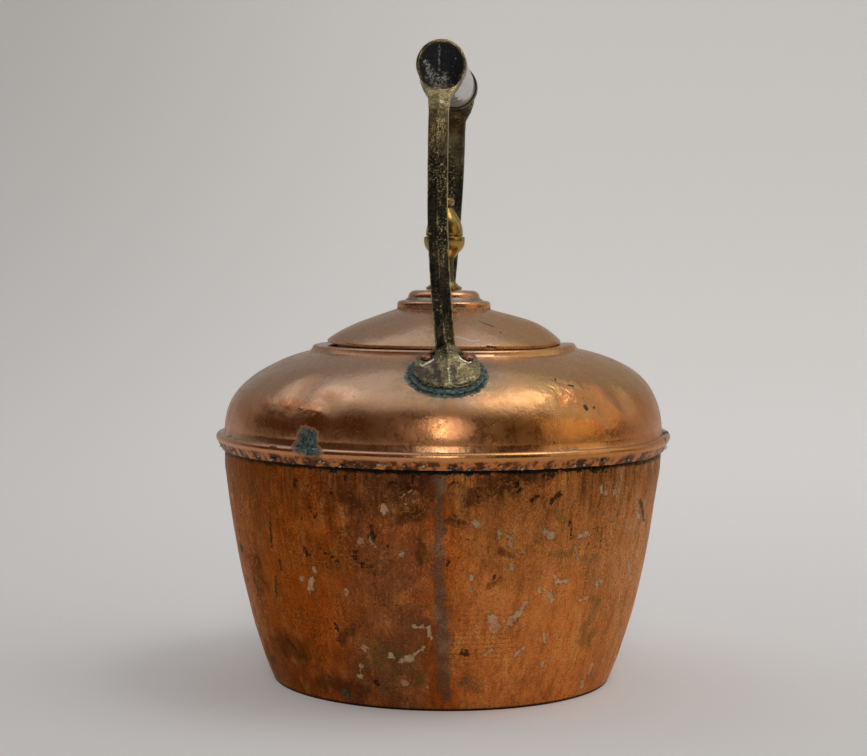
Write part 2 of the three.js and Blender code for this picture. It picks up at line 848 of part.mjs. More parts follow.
// Outer half size of the spout: a taper from its root, with a lip at its mouth.
function spoutSize(rootSize, place) {
  const share = THREE.MathUtils.clamp(place, 0, 1);
  const taper = THREE.MathUtils.lerp(rootSize, spoutMouthRadius, 1 - (1 - share) ** spoutTaperPower);
  return taper + spoutLip * THREE.MathUtils.smoothstep(place, spoutLipStart, 1);
}

// The body's outside as a solid, swollen by a gap.
function bodyEnvelope(gap) {
  const line = besideLine(wallLine(), -gap);
  const closed = [
    point(0, -cutMargin),
    point(line[0].x, -cutMargin),
    ...line,
    point(0, line[line.length - 1].y),
  ];
  return toSolid(turnSolid(closed, shellSegments));
}

// Lower body, base plate and shoulder.
function addBody() {
  const shell = toSolid(turn(sheetOutline(wallLine(), sheet), shellSegments));
  const waterway = alongSpout(0, waterwayEnd, 4, () => waterwayHalfHeight, () => waterwayHalfWidth);
  addPiece(kettle, 'lower_body', fromSolid(shell.subtract(waterway)), copper);

  const inside = besideLine(wallLine(), sheet + seatGap);
  const upturn = inside.filter((here) => here.y > basePlateCorner * 2 && here.y < basePlateUpturn);
  const edge = (height) => heightAt(inside.map((here) => point(here.y, here.x)), height);
  const corner = edge(basePlateCorner) - basePlateCorner;
  const line = [
    point(0, 0),
    ...arc(point(corner, basePlateCorner), basePlateCorner, -90, 0, 3),
    ...upturn,
    point(edge(basePlateUpturn), basePlateUpturn),
  ];
  const upper = besideLine(line, basePlateThickness).reverse();
  upper[upper.length - 1].set(0, basePlateThickness);
  addPiece(kettle, 'base_plate', turnSolid([...line, ...upper], lidSegments), copper);

  const shoulder = toSolid(turn(sheetOutline(shoulderLine(), sheet), shellSegments));
  const frontHoles = rivetHoles();
  const rearHoles = frontHoles.rotate(0, 0, 180);
  const drilled = shoulder.subtract(frontHoles).subtract(rearHoles);
  addPiece(kettle, 'shoulder', fromSolid(drilled), shoulderCopper);
}

// Gooseneck spout with a flange that follows the wall.
function addSpout() {
  const along = (from, to, steps, growth) => alongSpout(
    from,
    to,
    steps,
    (place) => spoutSize(spoutRootHalfHeight, place) + growth,
    (place) => spoutSize(spoutRootHalfWidth, place) + growth,
  );
  const tube = along(0, 1, spoutSteps, 0);
  const cuff = along(0, spoutFlangeEnd, spoutSteps / 3, spoutFlange);
  const flange = cuff.intersect(bodyEnvelope(seatGap + sheet));
  const bore = along(spoutBoreStart, spoutBoreEnd, spoutSteps, -sheet);
  const spout = tube.add(flange).subtract(bore).subtract(bodyEnvelope(seatGap));
  addPiece(kettle, 'spout', fromSolid(spout), copper);
}

// Outer line of the lid's sheet, from the lower edge of its rim to the hole for the finial's tang.
function lidLine() {
  const rimBottom = ledgeHeight + seatGap;
  const rimTop = rimBottom + lidRimDepth;
  const bossFoot = rimTop + bossFootRise;
  const stepTop = bossFoot + bossStepHeight;
  const topFoot = stepTop + bossSlope;
  const top = topFoot + bossTopHeight;
  const bossTopRadius = bossRadius - bossLedge;
  const dome = new THREE.QuadraticBezierCurve(
    point(lidRimRadius, rimTop),
    point(lidRimRadius - lidCrownInset, rimTop + lidCrownRise),
    point(bossRadius, bossFoot),
  );
  return [
    point(lidRimRadius, rimBottom),
    ...dome.getPoints(5),
    ...arc(point(bossRadius - bossRounding, stepTop - bossRounding), bossRounding, 0, 80, 2),
    point(bossTopRadius, topFoot),
    ...arc(point(bossTopRadius - 2 * bossRounding, top - 2 * bossRounding), 2 * bossRounding, 20, 90, 3),
    point(tangRadius + holeClearance, top),
  ];
}

// Lid with the skirt that guides it in the neck.
function addLid() {
  const line = lidLine();
  const top = line[line.length - 1].y;
  addPiece(kettle, 'lid_dome', turn(sheetOutline(line, sheet), lidSegments), shoulderCopper);

  const skirtOuter = neckRadius - skirtGap;
  const underside = besideLine(line, sheet + seatGap);
  const skirt = [
    point(skirtOuter, ledgeHeight - skirtDepth),
    point(skirtOuter, heightAt(underside, skirtOuter)),
    point(skirtOuter - skirtThickness, heightAt(underside, skirtOuter)),
    point(skirtOuter - skirtThickness, ledgeHeight - skirtDepth),
  ];
  addPiece(kettle, 'lid_skirt', turn(skirt, lidSegments), shoulderCopper);
  addFinial(top);
}

// Cast acorn finial, riveted through the lid over a washer.
function addFinial(lidTop) {
  const washerTop = lidTop - sheet - seatGap;
  const washerBottom = washerTop - finialWasherThickness;
  const endTop = washerBottom - seatGap;
  const endRadius = tangRadius + rivetedEndOverhang;
  const foot = lidTop + seatGap;
  const cupFoot = foot + finialStemHeight;
  const cupRim = cupFoot + finialCupHeight;
  const nutTop = cupRim + finialNutHeight;
  const nutRadius = finialCupRadius - finialNutInset;
  const waist = finialKnobRadius - finialKnobHeight * finialWaistShare;
  const stemFoot = new THREE.QuadraticBezierCurve(
    point(finialFootRadius, foot + finialFootThickness),
    point(finialStemRadius, foot + finialFootThickness + finialFootFlare),
    point(finialStemRadius, foot + finialStemHeight * finialStemShare),
  );
  const cup = new THREE.CubicBezierCurve(
    point(finialStemRadius, cupFoot - finialStemFlare),
    point(finialStemRadius, cupFoot + finialStemFlare / 2),
    point(finialCupRadius, cupFoot + finialStemFlare / 2),
    point(finialCupRadius, cupRim - finialCupRim),
  );
  const nut = new THREE.CubicBezierCurve(
    point(nutRadius, cupRim + finialCupRim / 2),
    point(nutRadius, cupRim + finialNutHeight / 2),
    point(waist + finialKnobHeight * finialNutShare, nutTop - finialKnobHeight),
    point(waist, nutTop),
  );
  const knobRounding = finialKnobHeight * finialKnobShare;
  const knobCentre = point(finialKnobRadius - knobRounding, nutTop + finialKnobHeight / 2);
  const finial = [
    point(0, endTop - rivetedEndHeight),
    point(tangRadius, endTop - rivetedEndHeight),
    point(endRadius, endTop - rivetedEndHeight / 2),
    point(endRadius, endTop),
    point(tangRadius, endTop),
    point(tangRadius, foot),
    point(finialFootRadius, foot),
    ...stemFoot.getPoints(3),
    ...cup.getPoints(4),
    point(finialCupRadius - finialCupRim / 2, cupRim),
    ...nut.getPoints(4),
    ...arc(knobCentre, knobRounding, -60, 60, 3),
    point(0, nutTop + finialKnobHeight),
  ];
  addPiece(kettle, 'finial', turnSolid(finial, finialSegments), polishedBrass);
  const bore = tangRadius + holeClearance;
  addPiece(kettle, 'finial_washer', turn([
    point(bore, washerBottom),
    point(finialWasherRadius, washerBottom),
    point(finialWasherRadius, washerTop),
    point(bore, washerTop),
  ], rivetSegments), polishedBrass);
}

addBody();
addSpout();
addLid();
addHandleEnds();
addGrip();

export default kettle;
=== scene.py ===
"""Old copper tea kettle with a cast brass handle, dressed for its studio picture."""

import math
import random
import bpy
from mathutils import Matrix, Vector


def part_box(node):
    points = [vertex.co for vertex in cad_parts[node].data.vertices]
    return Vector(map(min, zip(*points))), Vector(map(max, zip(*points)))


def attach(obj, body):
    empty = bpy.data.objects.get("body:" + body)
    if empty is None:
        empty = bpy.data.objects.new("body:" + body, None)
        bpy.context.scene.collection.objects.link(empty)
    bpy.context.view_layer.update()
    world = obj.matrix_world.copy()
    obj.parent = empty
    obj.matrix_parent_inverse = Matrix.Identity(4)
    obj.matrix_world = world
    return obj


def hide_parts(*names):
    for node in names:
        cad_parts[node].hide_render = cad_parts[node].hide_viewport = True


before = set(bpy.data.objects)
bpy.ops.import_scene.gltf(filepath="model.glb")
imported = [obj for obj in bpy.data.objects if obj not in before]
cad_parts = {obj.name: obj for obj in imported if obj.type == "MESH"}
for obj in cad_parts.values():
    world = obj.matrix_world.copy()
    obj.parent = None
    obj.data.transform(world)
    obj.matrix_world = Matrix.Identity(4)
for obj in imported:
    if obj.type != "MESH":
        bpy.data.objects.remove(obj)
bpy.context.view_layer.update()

from types import SimpleNamespace

import bpy
import numpy as np
from bpy.props import FloatProperty, FloatVectorProperty, PointerProperty
from mathutils import Matrix, Vector
from mathutils.bvhtree import BVHTree

bl_info = {
    "name": "Old Copper Kettle",
    "version": (1, 0, 0),
    "blender": (4, 5, 0),
    "location": "3D View > Sidebar > Kettle",
    "description": "Models and finishes an old copper tea kettle round its packed frame",
    "category": "Object",
}

MM = 0.001
MERGE = 1e-6
PHOTO_WIDTH = 867
PHOTO_HEIGHT = 756
SMOOTH_ANGLE = math.radians(38)
HIDDEN_FROM = 70    # degrees from the front, past which marks are scattered by chance


# Sizes and colours that a user would change

def length(name, millimetres, description):
    """A size, given in millimetres and kept in metres."""
    return FloatProperty(name=name, description=description, default=millimetres * MM, unit="LENGTH")


def linear(level):
    """The linear value of a screen colour's channel from 0 to 255."""
    share = level / 255
    return share / 12.92 if share <= 0.04045 else ((share + 0.055) / 1.055) ** 2.4


def tone(name, red, green, blue, description):
    """A colour, given as screen values from 0 to 255."""
    value = (linear(red), linear(green), linear(blue), 1.0)
    return FloatVectorProperty(name=name, description=description, subtype="COLOR", size=4,
                               min=0.0, max=1.0, default=value)


def box_mm(node):
    """Lowest and highest corners of a CAD node, in millimetres."""
    low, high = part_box(node)
    return low / MM, high / MM


SHOULDER_LOW, SHOULDER_HIGH = box_mm("shoulder")
LID_LOW, LID_HIGH = box_mm("lid_dome")
SKIRT_LOW, SKIRT_HIGH = box_mm("lid_skirt")
FINIAL_LOW, FINIAL_HIGH = box_mm("finial")
GRIP_LOW, GRIP_HIGH = box_mm("grip")


class KettleBodySizes(bpy.types.PropertyGroup):
    """Sizes of the copper body."""

    sheet: length("Sheet", 1.0, "Thickness of the copper sheet")
    base_radius: length("Base radius", 75.6, "Radius of the wall where the kettle stands")
    belly_radius: length("Belly radius", 90.25, "Radius of the wall's guide point")
    belly_height: length("Belly height", 33.15, "Height of the wall's guide point")
    wall_radius: length("Wall radius", 97.8, "Radius of the wall under the seam")
    wall_height: length("Wall height", 95.7, "Height of the wall under the seam")
    flange: length("Flange", 3.4, "Width of the flange inside the fold")
    fold_radius: length("Fold radius", 99.2, "Radius at the tip of the fold")
    fold_height: length("Fold height", SHOULDER_LOW.z, "Height of the tip of the fold")
    bead_centre_radius: length("Bead centre radius", SHOULDER_HIGH.x - 2.1, "Radius of the bead's middle")
    bead_height: length("Bead height", 108.5, "Height of the bead's middle")
    bead_radius: length("Bead radius", 2.1, "Radius of the rolled bead")
    shoulder_radius: length("Shoulder radius", 98.1, "Radius of the shoulder above the bead")
    shoulder_height: length("Shoulder height", 112.6, "Height of the shoulder above the bead")
    turn_height: length("Turn height", 125.5, "Height of the shoulder's first guide point")
    crown_radius: length("Crown radius", 91.5, "Radius of the shoulder's second guide point")
    crown_height: length("Crown height", 138.0, "Height of the shoulder's second guide point")
    ring_radius: length("Ring radius", 57.6, "Radius of the ring round the mouth")
    ring_height: length("Ring height", 148.0, "Height of that ring's middle")
    ring_bead: length("Ring bead", 1.5, "Radius of that ring's section")
    ledge_height: length("Ledge height", LID_LOW.z - 0.3, "Height of the ledge that the lid rests on")
    neck_radius: length("Neck radius", 48.6, "Outer radius of the neck")
    neck_depth: length("Neck depth", 8.0, "How far the neck reaches down")
    neck_corner: length("Neck corner", 1.4, "Rounding between ledge and neck")


class KettleLidSizes(bpy.types.PropertyGroup):
    """Sizes of the lid and its finial."""

    sheet: length("Sheet", 1.0, "Thickness of the lid's sheet")
    rim_radius: length("Rim radius", LID_HIGH.x, "Radius of the lid's rim")
    rim_bottom: length("Rim bottom", LID_LOW.z, "Height of the rim's lower edge")
    rim_depth: length("Rim depth", 1.5, "Depth of the rim")
    crown_inset: length("Crown inset", 9.5, "How far in from the rim the dome's guide point lies")
    crown_rise: length("Crown rise", 7.6, "How far above the rim the dome's guide point lies")
    boss_radius: length("Boss radius", 21.0, "Radius of the lower step of the boss")
    boss_foot_rise: length("Boss foot rise", 14.6, "Rise from the rim to the boss")
    boss_step: length("Boss step", 3.7, "Height of the lower step")
    boss_ledge: length("Boss ledge", 4.8, "Width of the lower step")
    boss_slope: length("Boss slope", 0.5, "Rise of the lower step's top")
    boss_top: length("Boss top", LID_HIGH.z, "Height of the boss")
    boss_rounding: length("Boss rounding", 1.7, "Rounding of the lower step")
    tang_radius: length("Tang radius", 2.3, "Radius of the finial's tang")
    skirt_sheet: length("Skirt sheet", 0.8, "Thickness of the skirt")
    skirt_radius: length("Skirt radius", SKIRT_HIGH.x, "Outer radius of the skirt")
    finial_tip: length("Finial tip", FINIAL_HIGH.z, "Height of the finial's tip")
    cup_radius: length("Cup radius", 9.2, "Radius of the acorn's cup")
    foot_radius: length("Foot radius", 8.1, "Radius of the finial's foot")
    stem_radius: length("Stem radius", 4.2, "Radius of the finial's stem")
    knob_radius: length("Knob radius", 4.4, "Radius of the finial's knob")


class KettleHandleSizes(bpy.types.PropertyGroup):
    """Sizes of the grip and its fittings, and how finely the castings are cut."""

    axis_height: length("Axis height", (GRIP_LOW.z + GRIP_HIGH.z) / 2, "Height of the grip's axis")
    grip_radius: length("Grip radius", 9.7, "Radius of the glass grip")
    grip_length: length("Grip length", 99.2, "Length of the glass grip")
    grip_bore: length("Grip bore", 4.2, "Radius of the hole through the grip")
    shift: length("Shift", 1.4, "How far the old handle is pulled aside")
    turn: FloatProperty(name="Turn", description="How far the old handle is twisted over its feet",
                        default=math.radians(-4.6), subtype="ANGLE")
    casting_grain: length("Casting grain", 0.42, "Size of the faces of the cast brackets")


class KettleColours(bpy.types.PropertyGroup):
    """Colours of the finishes."""

    copper_bright: tone("Bright copper", 236, 140, 62, "Rubbed copper of the wall")
    copper_orange: tone("Orange copper", 212, 102, 24, "Most of the wall")
    copper_brown: tone("Brown copper", 136, 66, 24, "Tarnished patches of the wall")
    copper_dark: tone("Dark tarnish", 44, 26, 16, "Pits and drips")
    copper_pale: tone("Pale scale", 240, 208, 160, "Pale splashes on the wall")
    copper_glow: tone("Glowing copper", 242, 150, 80, "Brighter half of the wall, right of its seam")
    # Greyed copper serves as a grey tone left of the seam, and as the painted sheen of reflected light
    # towards the wall's right edge.
    copper_grey: tone("Greyed copper", 202, 160, 124, "Wall towards its right edge")
    # Painted highlight on the crests of the crinkles near the wall's right edge.
    copper_crest_highlight: tone("Creamy copper", 226, 190, 150, "Rubbed crests near the wall's right edge")
    copper_deep: tone("Deep copper", 158, 71, 15, "Wall towards its left edge")
    satin_pink: tone("Satin copper", 220, 156, 110, "Cleaned copper of the shoulder")
    # Painted warm light on the shoulder's right side.
    satin_gold_warm_light: tone("Golden copper", 216, 150, 84, "Warm side of the shoulder")
    satin_brown: tone("Brown satin", 188, 118, 72, "Darker side of the shoulder")
    # Painted sheen on upward faces, the light from above, on the left and on the right.
    satin_top_sheen: tone("Hazy copper", 208, 174, 146, "Upward faces on the left")
    satin_top_gold_sheen: tone("Hazy golden copper", 212, 166, 110, "Upward faces on the right")
    brass_bright: tone("Bright brass", 226, 205, 148, "Rubbed brass")
    brass_dark: tone("Dark brass", 66, 58, 44, "Patina of the castings")
    brass_black: tone("Black brass", 26, 27, 31, "Soot in the dishes")
    verdigris: tone("Verdigris", 96, 124, 120, "Green crust")
    verdigris_dark: tone("Dark verdigris", 34, 54, 48, "Shadows of the green crust")
    solder: tone("Solder", 190, 192, 188, "Beads of solder")
    tin: tone("Tin", 150, 146, 138, "Tinned inside")
    glass: tone("Milk glass", 226, 225, 222, "Opaque glass of the grip")
    iron: tone("Iron", 96, 90, 84, "Iron rod inside the grip")
    floor: tone("Floor", 230, 229, 227, "Floor and backdrop")


class KettleStage(bpy.types.PropertyGroup):
    """Camera, read off the photograph."""

    distance: length("Camera distance", 875.0, "Distance of the camera from the kettle's axis")
    height: length("Camera height", 187.5, "Height of the camera")
    azimuth: FloatProperty(name="Azimuth", description="Camera's place round the kettle",
                           default=math.radians(-1.2), subtype="ANGLE")
    pitch: FloatProperty(name="Pitch", description="How far the camera looks down",
                         default=math.radians(3.472), subtype="ANGLE")
    roll: FloatProperty(name="Roll", description="Tilt of the picture",
                        default=math.radians(0.45), subtype="ANGLE")
    focal_length: FloatProperty(name="Focal length in pixels", description="Of the photograph",
                                default=1943.0)
    axis_column: FloatProperty(name="Axis column", description="Column of the axis at mid height",
                               default=443.3)


def millimetres(group):
    """The sizes of a property group in millimetres, angles left as they are."""
    values = {}
    for name in group.__annotations__:
        value = getattr(group, name)
        is_length = group.bl_rna.properties[name].unit == "LENGTH"
        values[name] = value / MM if is_length else value
    return SimpleNamespace(**values)


# Lines and outlines, in millimetres

def curve(controls, steps):
    """Points of the Bezier curve with these control points."""
    points = []
    for step in range(steps + 1):
        level = [Vector(control) for control in controls]
        while len(level) > 1:
            level = [a.lerp(b, step / steps) for a, b in zip(level, level[1:])]
        points.append(tuple(level[0]))
    return points


def arc(centre, radius, start, end, steps):
    """Points of an arc between two angles in degrees."""
    points = []
    for step in range(steps + 1):
        angle = math.radians(start + (end - start) * step / steps)
        points.append((centre[0] + radius * math.cos(angle), centre[1] + radius * math.sin(angle)))
    return points


def straight(start, end, steps):
    """Points along a straight stretch."""
    return [tuple(Vector(start).lerp(Vector(end), step / steps)) for step in range(steps + 1)]


def beside(line, distance):
    """The line beside another one, to its left."""
    result = []
    for i, here in enumerate(line):
        before = Vector(line[max(i - 1, 0)])
        after = Vector(line[min(i + 1, len(line) - 1)])
        along = (after - before).normalized()
        result.append((here[0] - along.y * distance, here[1] + along.x * distance))
    return result


def sheet_outline(line, thickness, keep_every=1):
    """Closed outline of a sheet with its outer face on a line and fewer points inside."""
    inside = beside(line, thickness)
    thinned = inside[::keep_every]
    if thinned[-1] != inside[-1]:
        thinned.append(inside[-1])
    return [*line, *reversed(thinned), line[0]]


def bezier_point(controls, share):
    """Point of a Bezier curve, also a little past its ends."""
    level = list(controls)
    while len(level) > 1:
        level = [a + (b - a) * share for a, b in zip(level, level[1:])]
    return level[0]


def within(share):
    """A share kept between 0 and 1."""
    return min(max(share, 0.0), 1.0)


def smooth_share(value, low, high):
    """A smooth step between two values."""
    share = within((value - low) / (high - low))
    return share * share * (3 - 2 * share)


def bead_line(body):
    """Outer line of the rolled bead, from the crease over the fold upwards."""
    return arc((body.bead_centre_radius, body.bead_height), body.bead_radius, -50, 115, 18)


# Modelling steps

def begin():
    """Leaves edit mode and empties the selection."""
    if bpy.context.mode != "OBJECT":
        bpy.ops.object.mode_set(mode="OBJECT")
    bpy.ops.object.select_all(action="DESELECT")


def pick(piece):
    """Selects one piece alone."""
    begin()
    piece.select_set(True)
    bpy.context.view_layer.objects.active = piece


def edit_whole(piece):
    """Opens a piece in edit mode with all of it selected."""
    pick(piece)
    bpy.ops.object.mode_set(mode="EDIT")
    bpy.ops.mesh.select_all(action="SELECT")


def joined(name, pieces):
    """One piece made of several."""
    for piece in pieces:
        piece.select_set(True)
    bpy.ops.object.join()
    whole = bpy.context.object
    whole.name = name
    return whole


def apply_modifier(piece, kind, **settings):
    """Adds a modifier to a piece and applies it."""
    pick(piece)
    modifier = piece.modifiers.new(kind, kind)
    for name, value in settings.items():
        setattr(modifier, name, value)
    bpy.ops.object.modifier_apply(modifier=modifier.name)


def of_points(piece, what):
    """Three numbers for each point of a piece."""
    values = np.empty(len(piece.data.vertices) * 3)
    piece.data.vertices.foreach_get(what, values)
    return values.reshape(-1, 3)


def places_of(piece):
    """Places of a piece's points, in metres."""
    return of_points(piece, "co")


def normals_of(piece):
    """Directions of a piece's points."""
    return of_points(piece, "normal")


def heights_and_reaches(piece):
    """Heights of a piece's points and their distances from the Z axis, in millimetres."""
    across, along, up = (places_of(piece) / MM).T
    return up, np.hypot(across, along)


def ramp(values, start, width):
    """0 before a start, then rising to 1 over a width. A negative width rises the other way."""
    return np.clip((values - start) / width, 0, 1)


def ridge(values, middle, width):
    """1 at a middle value, falling to 0 at a width from it."""
    return np.clip(1 - np.abs(values - middle) / width, 0, 1)


def upward_faces(piece):
    """1 for the points that face upwards, 0 for those on steep walls."""
    return ramp(normals_of(piece)[:, 2], 0.35, 0.45)


def inner_faces(piece, height):
    """1 for the points that turn their back on a height of the Z axis, 0 for the others."""
    towards = places_of(piece) - np.array((0.0, 0.0, height))
    return ((towards * normals_of(piece)).sum(axis=1) < 0).astype(float)


def drawn(name, line):
    """An edge chain through points of radius and height, drawn by extruding a point."""
    begin()
    places = [Vector((radius * MM, 0.0, height * MM)) for radius, height in line]
    bpy.ops.mesh.primitive_plane_add(size=MM, location=places[0])
    piece = bpy.context.object
    piece.name = name
    bpy.ops.object.transform_apply(location=True, rotation=False, scale=False)
    edit_whole(piece)
    bpy.ops.mesh.merge(type="CENTER")
    for here, after in zip(places, places[1:]):
        bpy.ops.mesh.extrude_vertices_move(TRANSFORM_OT_translate={"value": after - here})
    bpy.ops.mesh.select_all(action="SELECT")
    bpy.ops.mesh.remove_doubles(threshold=MERGE)
    bpy.ops.object.mode_set(mode="OBJECT")
    return piece


def turned(name, line, segments):
    """A piece turned about the Z axis from a closed line, or one that ends on the axis."""
    piece = drawn(name, line)
    apply_modifier(piece, "SCREW", steps=segments, render_steps=segments, axis="Z",
                   use_merge_vertices=True, merge_threshold=MERGE)
    tidy_normals(piece)
    return piece


def tidy_normals(piece):
    """Merges doubled points and turns the faces outwards."""
    edit_whole(piece)
    bpy.ops.mesh.remove_doubles(threshold=MERGE)
    bpy.ops.mesh.normals_make_consistent(inside=False)
    bpy.ops.object.mode_set(mode="OBJECT")


def press(piece, centre, radius, shift):
    """Moves the surface round a point smoothly aside, as a knock does. All in millimetres."""
    pick(piece)
    nearest = int(np.argmin(np.linalg.norm(places_of(piece) - np.array(centre) * MM, axis=1)))
    bpy.ops.object.mode_set(mode="EDIT")
    bpy.ops.mesh.select_all(action="DESELECT")
    bpy.ops.object.mode_set(mode="OBJECT")
    piece.data.vertices[nearest].select = True
    bpy.ops.object.mode_set(mode="EDIT")
    bpy.ops.transform.translate(
        value=Vector(shift) * MM, use_proportional_edit=True,
        proportional_edit_falloff="SMOOTH", proportional_size=radius * MM)
    bpy.ops.object.mode_set(mode="OBJECT")


def knock(piece, angle, height, radius, depth):
    """A dent in a round wall at an angle in degrees from the front, or a bulge where depth is negative."""
    across = Vector((math.sin(math.radians(angle)), -math.cos(math.radians(angle)), 0.0))
    places = places_of(piece) / MM
    reach = places[:, 0] * across.x + places[:, 1] * across.y
    aside = np.abs(places[:, 0] * across.y - places[:, 1] * across.x)
    misses = aside + np.abs(places[:, 2] - height) - 0.01 * reach
    misses[reach < 0] = np.inf
    press(piece, places[int(np.argmin(misses))], radius, across * -depth)


def weigh(piece, weights):
    """Writes a vertex group from one weight for each point."""
    group = piece.vertex_groups.new(name="weights")
    for index in np.nonzero(weights > 0.01)[0]:
        group.add([int(index)], float(weights[index]), "REPLACE")
    return group


def roughen(piece, grain, depth, weights=None, seed=0.0, level=0.5):
    """Makes a surface uneven with a cloud pattern of a grain size in millimetres."""
    group = None if weights is None else weigh(piece, weights)
    cloud = bpy.data.textures.new(f"{piece.name} grain", "CLOUDS")
    cloud.noise_scale = grain * MM
    cloud.noise_depth = 2
    holder = bpy.data.objects.new(f"{piece.name} grain place", None)
    bpy.context.scene.collection.objects.link(holder)
    holder.location = (seed, 0.0, 0.0)
    bpy.context.view_layer.update()
    apply_modifier(piece, "DISPLACE", texture=cloud, strength=depth * MM, mid_level=level,
                   vertex_group=group.name if group else "", texture_coords="OBJECT",
                   texture_coords_object=holder)
    if piece.vertex_groups:
        piece.vertex_groups.clear()
    bpy.data.objects.remove(holder)
    bpy.data.textures.remove(cloud)


def set_attribute(piece, name, values):
    """Stores one number for each point of a piece."""
    attribute = piece.data.attributes.new(name, "FLOAT", "POINT")
    attribute.data.foreach_set("value", np.asarray(values, np.float32))


def set_nothing(piece, *names):
    """Stores zeros where a finish reads a mark that the piece doesn't have."""
    for name in names:
        set_attribute(piece, name, np.zeros(len(piece.data.vertices)))


def edge_share(piece):
    """How far each point stands out from its neighbours, from -1 in a crease to 1 on an arris."""
    places = places_of(piece)
    normals = normals_of(piece)
    pairs = np.empty(len(piece.data.edges) * 2, np.int64)
    piece.data.edges.foreach_get("vertices", pairs)
    pairs = pairs.reshape(-1, 2)
    total = np.zeros(len(places))
    count = np.zeros(len(places))
    for here, there in ((pairs[:, 0], pairs[:, 1]), (pairs[:, 1], pairs[:, 0])):
        away = places[here] - places[there]
        size = np.maximum(np.linalg.norm(away, axis=1), 1e-9)
        np.add.at(total, here, (away * normals[here]).sum(axis=1) / size)
        np.add.at(count, here, 1)
    return total / np.maximum(count, 1)


# Marks on the surface, read off the photograph by column and row

def seen_places(points):
    """Columns and rows of points in the photograph's frame."""
    camera = bpy.context.scene.camera
    inverse = np.array(camera.matrix_world.inverted())
    local = points @ inverse[:3, :3].T + inverse[:3, 3]
    scale = camera.data.lens / camera.data.sensor_width * PHOTO_WIDTH
    columns = PHOTO_WIDTH / 2 - scale * local[:, 0] / local[:, 2]
    rows = PHOTO_HEIGHT / 2 + scale * local[:, 1] / local[:, 2]
    return columns, rows


def stroke_field(columns, rows, stroke):
    """A field that is 1 along a stroke, one half at its edge and 0 further out."""
    start_column, start_row, end_column, end_row, half_width = stroke
    along = np.array((end_column - start_column, end_row - start_row), float)
    aside = np.stack((columns - start_column, rows - start_row), axis=1)
    share = np.clip(aside @ along / max(along @ along, 1e-9), 0, 1)
    distance = np.linalg.norm(aside - share[:, None] * along, axis=1)
    return np.clip(1 - 0.5 * distance / half_width, 0, 1)


def scattered_field(places, centre, radius):
    """The same kind of field round a point of the surface, for the sides that the photograph hides."""
    distance = np.linalg.norm(places - np.array(centre), axis=1)
    return np.clip(1 - 0.5 * distance / radius, 0, 1)


def paint(piece, name, strokes, scatter=()):
    """Paints strokes seen in the photograph, and scattered spots elsewhere, into an attribute."""
    places = places_of(piece)
    columns, rows = seen_places(places)
    towards = np.array(bpy.context.scene.camera.location) - places
    facing = (towards * normals_of(piece)).sum(axis=1) > 0
    field = np.zeros(len(places))
    for stroke in strokes:
        field = np.maximum(field, stroke_field(columns, rows, stroke) * facing)
    for centre, radius in scatter:
        field = np.maximum(field, scattered_field(places, centre, radius))
    set_attribute(piece, name, field)


def scatter_on_wall(piece, seed, count, low, high, smallest, largest):
    """Random spots on a piece away from the side that the photograph shows."""
    rng = random.Random(seed)
    places = places_of(piece)
    angles = np.degrees(np.arctan2(places[:, 0], -places[:, 1]))
    in_band = (places[:, 2] > low * MM) & (places[:, 2] < high * MM)
    free = np.nonzero((np.abs(angles) > HIDDEN_FROM) & in_band)[0]
    return [(places[rng.choice(free)], rng.uniform(smallest, largest) * MM) for _ in range(count)]


# Tones that only one finish uses, as shares of red, green, blue and alpha

PALE_CRUST = (0.30, 0.37, 0.38, 1.0)
CLOUD_BROWN = (0.24, 0.08, 0.02, 1.0)
CLOUD_BRIGHT = (1.0, 0.49, 0.145, 1.0)
UPPER_BROWN = (0.11, 0.036, 0.012, 1.0)
STAIN_BROWN = (0.085, 0.03, 0.011, 1.0)
STAIN_OLIVE = (0.16, 0.13, 0.045, 1.0)
SEAM_DARK = (0.17, 0.10, 0.058, 1.0)
SEAM_PALE = (0.30, 0.215, 0.145, 1.0)
HAMMERED_RIM_HIGHLIGHT = (0.90, 0.44, 0.14, 1.0)
DRIP_BLACK = (0.022, 0.014, 0.012, 1.0)
PINK_SCALE = (0.85, 0.46, 0.26, 1.0)
UNDER_FOLD = (0.010, 0.013, 0.012, 1.0)
WALL_SHEEN = (1.0, 0.74, 0.5, 1.0)
FOLD_DARK = (0.08, 0.026, 0.012, 1.0)
FOLD_BRIGHT = (0.72, 0.25, 0.075, 1.0)
SPOT_BLACK = (0.03, 0.018, 0.016, 1.0)
SPLASH_GREY = (0.62, 0.60, 0.56, 1.0)
CAST_OLIVE = (0.17, 0.14, 0.075, 1.0)
CAST_SOOT = (0.008, 0.008, 0.008, 1.0)
SPARKLE_BLUE = (0.35, 0.4, 0.5, 1.0)
FROST_GREY = (0.52, 0.52, 0.47, 1.0)
STAIN_AND_SHADOW_PURPLE = (0.035, 0.024, 0.035, 1.0)
CREAM = (0.90, 0.88, 0.74, 1.0)
BRASS_GOLD = (0.48, 0.31, 0.075, 1.0)
BRASS_BROWN = (0.26, 0.14, 0.035, 1.0)
BRASS_STREAK = (0.10, 0.07, 0.025, 1.0)
GLASS_SHADE = (0.60, 0.59, 0.58, 1.0)
SOLDER_DARK = (0.07, 0.065, 0.055, 1.0)
OLD_SOLDER = (0.16, 0.17, 0.16, 1.0)
OLD_SOLDER_DARK = (0.05, 0.05, 0.045, 1.0)
RIVET_PINK = (0.46, 0.19, 0.11, 1.0)
IRON_DARK = (0.05, 0.035, 0.03, 1.0)
DARK_ROOM = (0.06, 0.033, 0.017, 1.0)
SKYLIGHT = (0.60, 0.61, 0.63, 1.0)
FAR_WALL = (0.41, 0.405, 0.395, 1.0)

MARK_EDGE = 0.52                       # level of a painted field at which its mark ends
RING_PITCH = 0.0021                    # distance of the turning rings on the wall, in metres
GLASS_DEPTH = (0.004, 0.004, 0.004)    # how far light goes into the milk glass, in metres


# Shader steps

